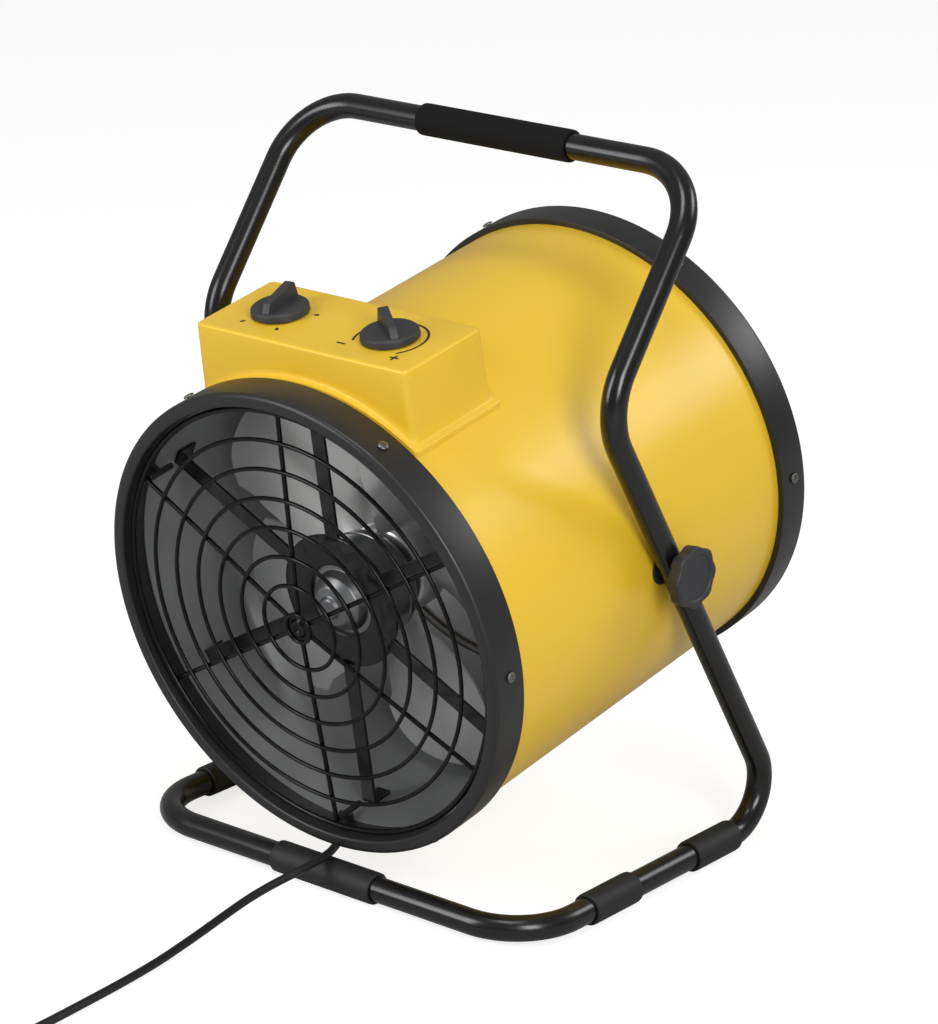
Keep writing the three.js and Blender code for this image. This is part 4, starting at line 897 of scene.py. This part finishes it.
def motor_bracket():
    half = BRACKET_SHEET / 2
    seat = DUCT_RADIUS - 0.4
    plate = revolve(softened([
        (BRACKET_HOLE, -half, 0.6), (BRACKET_PLATE, -half, 0.4), (BRACKET_PLATE, half, 0.4),
        (BRACKET_HOLE, half, 0.4),
    ], steps=2), 96)
    side = BRACKET_ARM / 2
    arm = slab((-side, -half, BRACKET_PLATE - 4), (side, half, seat))
    foot = slab((-side, -half, seat - BRACKET_SHEET), (side, BRACKET_FOOT - half, seat))
    shapes = [plate, *copies_round(arm, BRACKET_ARMS), *copies_round(foot, BRACKET_ARMS)]
    shapes = [shifted(shape, y=BRACKET_PLACE) for shape in shapes]
    made = piece("motor_spider", "drum", BLACK_PAINT, shapes, nodes=["motor_bracket"])
    return edge_rounding(made, 0.4)


def motor():
    back, front = MOTOR_BACK, MOTOR_FRONT
    body = revolve(softened([
        (0, back - 17, 0), (7, back - 17, 1.5), (9, back - 14, 1.5), (15, back - 13, 3), (21, back - 7, 4),
        (23.6, back, 0.6), (37, back, 1), (MOTOR_RADIUS, back + 3, 1.5), (MOTOR_RADIUS, back + 13, 0.4),
        (MOTOR_RADIUS - 0.8, back + 13.5, 0.3), (MOTOR_RADIUS - 0.8, front - 13.5, 0.3),
        (MOTOR_RADIUS, front - 13, 0.4), (MOTOR_RADIUS, front - 8, 3), (MOTOR_RADIUS - 6, front, 2),
        (15, front, 1), (15, front + 6, 1.2), (0, front + 6, 0),
    ], closed=False, steps=3), 96, closed=False)
    piece("motor_housing", "drum", MOTOR_STEEL, [body], nodes=["fan_motor"])


def fan_blade():
    """One wide, twisted, cambered blade from inside the hub to its rounded tip."""
    along_radius, across = 16, 16
    def surface(offset):
        rows = []
        for i in range(along_radius + 1):
            share = i / along_radius
            row = []
            for j in range(across + 1):
                chord = j / across - 0.5
                # The tip's two corners are drawn in, so that the outline ends in a soft arc.
                reach = BLADE_TIP - BLADE_TIP_DRAW * (2 * abs(chord)) ** 4
                radius = BLADE_ROOT + (reach - BLADE_ROOT) * share
                pitch = BLADE_ROOT_PITCH + (BLADE_TIP_PITCH - BLADE_ROOT_PITCH) * share
                width = 0.82 + 0.18 * math.sin(math.pi * min(share * 1.15, 1))
                angle = math.radians(BLADE_SWEEP * chord * width)
                along = pitch * chord - BLADE_CAMBER * (1 - 4 * chord * chord) + offset
                row.append(Vector((radius * math.sin(angle), along, radius * math.cos(angle))))
            rows.append(row)
        return rows
    front, back = surface(-BLADE_SHEET / 2), surface(BLADE_SHEET / 2)
    rings = [near + far[::-1] for near, far in zip(front, back)]
    return skin(rings)


def fan():
    half = HUB_LENGTH / 2
    hub = revolve(softened([
        (SHAFT_RADIUS + 0.3, -half, 0.3), (HUB_RADIUS - 4, -half, 5), (HUB_RADIUS, 6 - half, 4),
        (HUB_RADIUS, half - 6, 3), (HUB_RADIUS - 8, half, 2), (SHAFT_RADIUS + 0.3, half, 0.3),
    ], steps=4), 96)
    shapes = [hub, *copies_round(fan_blade(), FAN_BLADES, FAN_TURN + 180 / FAN_BLADES)]
    shapes = [shifted(shape, y=FAN_MIDDLE) for shape in shapes]
    piece("fan_wheel", "fan", FAN_ALUMINIUM, shapes, nodes=["fan_impeller"], crease=40)
    low, high = MOTOR_FRONT - 24, FAN_MIDDLE + half + 10.3
    shaft_view = softened([
        (0, low, 0), (SHAFT_RADIUS, low, 0.5), (SHAFT_RADIUS, high, 0.8), (0, high, 0),
    ], closed=False)
    shaft = revolve(shaft_view, 40, closed=False)
    piece("fan_shaft", "fan", BRIGHT_STEEL, [shaft], nodes=["motor_shaft"])


motor_bracket()
motor()
fan()


# ------------------------------------------------------------ heating elements
def heating_elements():
    """Each tube comes down from the duct's crown, runs once round the drum and goes up again."""
    for i, (along, radius) in enumerate(zip(ELEMENT_PLACES, ELEMENT_RADII)):
        spread = ELEMENT_LEG + ELEMENT_BEND
        height = math.sqrt((radius + ELEMENT_BEND) ** 2 - spread ** 2)
        meeting = math.atan2(spread, height)
        line = [(ELEMENT_LEG, DUCT_RADIUS - 2)]
        for k in range(9):
            angle = math.pi + (math.pi / 2 - meeting) * k / 8
            line.append((spread + ELEMENT_BEND * math.cos(angle), height + ELEMENT_BEND * math.sin(angle)))
        for k in range(1, 49):
            angle = math.pi / 2 - meeting - (math.pi - meeting) * k / 48
            line.append((radius * math.cos(angle), radius * math.sin(angle)))
        whole = line + [(-x, z) for x, z in line[-2::-1]]
        tube = rod([(x, along, z) for x, z in whole], ELEMENT_TUBE, 18)
        nodes = [f"heating_element_{i + 1}"]
        piece(f"element_tube_{i + 1}", "drum", ELEMENT_STEEL, [tube], nodes=nodes)


heating_elements()


# ------------------------------------------------------------ control box
def round_rectangle(grow, corner, steps=8):
    """The box's outline round its own middle, grown by some millimetres all round."""
    half_x, half_y = BOX_HALF[0] + grow, BOX_HALF[1] + grow
    points = []
    for sign_x, sign_y, start in ((1, 1, 0), (-1, 1, 90), (-1, -1, 180), (1, -1, 270)):
        for k in range(steps + 1):
            angle = math.radians(start + 90 * k / steps)
            points.append((
                sign_x * (half_x - corner) + corner * math.cos(angle),
                sign_y * (half_y - corner) + corner * math.sin(angle),
            ))
        if sign_x == sign_y:
            for k in range(1, BOX_SIDE_STEPS):
                points.append((sign_x * (half_x - corner) * (1 - 2 * k / BOX_SIDE_STEPS), sign_y * half_y))
    return points


def control_box():
    """A cover with soft edges and drafted sides that sits on the drum with a flange round its foot."""
    def on_drum(outline, radius):
        return [(x, y + BOX_PLACE, math.sqrt(radius ** 2 - x ** 2)) for x, y in outline]
    def flat(outline, height):
        return [(x, y + BOX_PLACE, height) for x, y in outline]
    shoulder = BOX_TOP - BOX_EDGE
    rings = [flat(round_rectangle(-BOX_EDGE - 3, BOX_CORNER - BOX_EDGE), BOX_TOP)]
    for k in range(7):
        turn = math.pi / 2 * k / 6
        grow = -BOX_EDGE * (1 - math.sin(turn))
        rings.append(flat(round_rectangle(grow, BOX_CORNER + grow), shoulder + BOX_EDGE * math.cos(turn)))
    foot_radius = BOX_SEAT + FLANGE_THICK + 0.9
    levels = 6
    inner = round_rectangle(0, BOX_CORNER)
    outer = round_rectangle(BOX_DRAFT, BOX_CORNER + BOX_DRAFT)
    for level in range(1, levels + 1):
        ring = []
        for (x0, y0), (x1, y1) in zip(inner, outer):
            x, y, height = x0, y0, shoulder
            for _ in range(3):
                height = shoulder + (math.sqrt(foot_radius ** 2 - x ** 2) - shoulder) * level / levels
                share = (BOX_TOP - height) / BOX_DROP
                x, y = x0 + (x1 - x0) * share, y0 + (y1 - y0) * share
            ring.append((x, y + BOX_PLACE, height))
        rings.append(ring)
    foot = [(x, y - BOX_PLACE) for x, y, _ in rings[-1]]
    for share, rise in ((0.25, 0.3), (0.6, 0.0)):
        spread = []
        for (x, y), (x0, y0), (x1, y1) in zip(foot, inner, outer):
            spread.append((x + (x1 - x0) * share, y + (y1 - y0) * share))
        rings.append(on_drum(spread, BOX_SEAT + FLANGE_THICK + rise))
    reach = BOX_DRAFT + FLANGE_WIDTH
    for inset, drop in ((0.8, 0.0), (0.2, 0.2), (0.0, 0.8), (0.0, FLANGE_THICK)):
        rings.append(on_drum(round_rectangle(reach - inset, BOX_CORNER), BOX_SEAT + FLANGE_THICK - drop))
    rings.append(on_drum(round_rectangle(0.5 - BOX_WALL, BOX_CORNER - 1), BOX_SEAT))
    rings.append(flat(round_rectangle(-BOX_WALL, BOX_CORNER - BOX_WALL), BOX_TOP - BOX_EDGE - BOX_WALL))
    rings.append(flat(round_rectangle(-BOX_EDGE - BOX_WALL, 1.5), BOX_TOP - BOX_WALL))
    cover, nodes = skin(rings), ["control_box"]
    piece("control_box_cover", "drum", YELLOW_PAINT, [cover], nodes=nodes, crease=50)


def control_knob(name, node, body, side, turn):
    """A disc with a bar grip that is higher and wider at its back end, before it is turned."""
    crown = KNOB_CROWN
    disc = upright(revolve(softened([
        (0, 0.1, 0), (3.5, 0.1, 0), (3.5, 1, 0), (KNOB_RADIUS - 0.4, 1, 0.4), (KNOB_RADIUS, 1.6, 0.5),
        (KNOB_RADIUS - 0.5, crown - 1.4, 1.2), (KNOB_RADIUS - 2.4, crown, 0.9), (0, crown, 0),
    ], closed=False, steps=4), 96, closed=False))
    side_view = softened([
        (-19.6, crown - 2, 0), (18.6, crown - 2, 0), (17.0, crown + 11, 1.6), (-15.2, crown + 7.4, 2.4),
        (-19.2, crown + 0.8, 1.5),
    ], steps=5)
    def half_width(y, z):
        return (GRIP_HALF + GRIP_FLARE * y) * (1 - GRIP_TAPER * (z - crown))
    grip = skin([[(sign * half_width(y, z), y, z) for y, z in side_view] for sign in (-1, 1)])
    place = DRUM_FRAME @ Matrix.Translation((side * KNOB_HALF_PITCH, KNOB_PLACE, BOX_TOP))
    place = place @ Matrix.Rotation(math.radians(turn), 4, "Z")
    made = piece(name, body, KNOB_PLASTIC, [disc, grip], place, [node])
    return edge_rounding(made, 0.8, 3, 50)


def ring_sector(inner, outer, first, last, steps=48):
    """A flat printed arc on Z 0. Angles in degrees from the front towards +X."""
    rings = []
    for k in range(steps + 1):
        angle = math.radians(first + (last - first) * k / steps)
        way = Vector((math.sin(angle), -math.cos(angle), 0))
        rings.append([way * inner, way * outer, way * outer + PRINT_RISE, way * inner + PRINT_RISE])
    return skin(rings)


def bar_mark(x, y, turn):
    """A straight printed mark on Z 0."""
    length, thick = MARK_LENGTH, MARK_WIDTH
    place = Matrix.Translation((x, y, 0)) @ Matrix.Rotation(math.radians(turn), 4, "Z")
    return moved(slab((-length / 2, -thick / 2, 0), (length / 2, thick / 2, PRINT_RISE.z)), place)


def box_print():
    selector, thermostat = -KNOB_HALF_PITCH, KNOB_HALF_PITCH
    shapes = []
    for turn in SELECTOR_MARKS:
        dash = ring_sector(25.8, 29.6, turn - 2.4, turn + 2.4, steps=3)
        shapes.append(shifted(dash, x=selector))
    shapes.append(shifted(ring_sector(25.8, 27.6, *THERMOSTAT_ARC), x=thermostat))
    for (x, y), turn in ((LESS_MARK, 0), (MORE_MARK, 0), (MORE_MARK, 90)):
        shapes.append(bar_mark(thermostat + x, y, turn))
    place = DRUM_FRAME @ Matrix.Translation((0, KNOB_PLACE, BOX_TOP + 0.03))
    piece("control_box_print", "drum", PRINT_INK, shapes, place)


control_box()
control_knob("selector_dial", "selector_knob", "selector", -1, SELECTOR_TURN)
control_knob("thermostat_dial_knob", "thermostat_knob", "thermostat_dial", 1, THERMOSTAT_TURN)
box_print()


# ------------------------------------------------------------ nodes that stay as they are
def dress_nodes():
    finishes = {
        "fan_nut": BRIGHT_STEEL, "thermal_cutout": KNOB_PLASTIC, "terminal_block": CREAM_PLASTIC,
        "selector_switch": CREAM_PLASTIC, "thermostat": DUCT_SHEET, "handle_joiner": BLACK_PAINT,
        "front_joiner": BLACK_PAINT,
    }
    finishes.update({f"element_support_{i}": DUCT_SHEET for i in (1, 2, 3)})
    for name, material in finishes.items():
        mesh = frame["nodes"][name].data
        mesh.materials.clear()
        mesh.materials.append(material)


dress_nodes()


# ------------------------------------------------------------ floor and light
def floor_paper():
    """Pale paper that glows a little to the camera, and is a duller grey to what it lights."""
    paper = bpy.data.materials.new("floor_paper")
    paper.use_nodes = True
    tree = paper.node_tree
    shader = tree.nodes["Principled BSDF"]
    shader.inputs["Base Color"].default_value = (0.42, 0.42, 0.42, 1)
    shader.inputs["Roughness"].default_value = 0.95
    shader.inputs["Specular IOR Level"].default_value = 0.0
    shader.inputs["Emission Color"].default_value = (1.0, 1.0, 1.0, 1)
    shader.inputs["Emission Strength"].default_value = FLOOR_GLOW
    dull = add(tree, "ShaderNodeBsdfDiffuse", {"Color": (FLOOR_BOUNCE, FLOOR_BOUNCE, FLOOR_BOUNCE, 1)})
    seen = add(tree, "ShaderNodeLightPath").outputs["Is Camera Ray"]
    both = add(tree, "ShaderNodeMixShader", {0: seen, 1: dull.outputs[0], 2: shader.outputs[0]})
    tree.links.new(both.outputs[0], tree.nodes["Material Output"].inputs["Surface"])
    return paper


def soft_room():
    """White behind the heater, and an even soft light from all round."""
    world = bpy.data.worlds.new("studio")
    bpy.context.scene.world = world
    world.use_nodes = True
    tree = world.node_tree
    backdrop = tree.nodes["Background"]
    backdrop.inputs["Color"].default_value = (1, 1, 1, 1)
    backdrop.inputs["Strength"].default_value = 1.0
    room = add(tree, "ShaderNodeBackground", {"Color": (1, 0.995, 0.985, 1), "Strength": ROOM_LIGHT})
    seen = add(tree, "ShaderNodeLightPath").outputs["Is Camera Ray"]
    both = add(tree, "ShaderNodeMixShader", {0: seen, 1: room.outputs[0], 2: backdrop.outputs[0]})
    tree.links.new(both.outputs[0], tree.nodes["World Output"].inputs["Surface"])


def studio():
    scene = bpy.context.scene
    scene.view_settings.view_transform = "Standard"
    bpy.ops.mesh.primitive_plane_add(size=24, location=(0, 0, 0))
    floor = bpy.context.object
    floor.name = "floor"
    floor.data.materials.append(floor_paper())
    soft_room()
    for name, (spot, size, power) in SOFT_BOXES.items():
        data = bpy.data.lights.new(name, "AREA")
        data.shape = "RECTANGLE"
        data.size, data.size_y = size
        data.energy = power
        lamp = bpy.data.objects.new(name, data)
        scene.collection.objects.link(lamp)
        lamp.location = spot
        lamp.rotation_euler = (Vector((0, 0, 0.25)) - Vector(spot)).to_track_quat("-Z", "Y").to_euler()


studio()
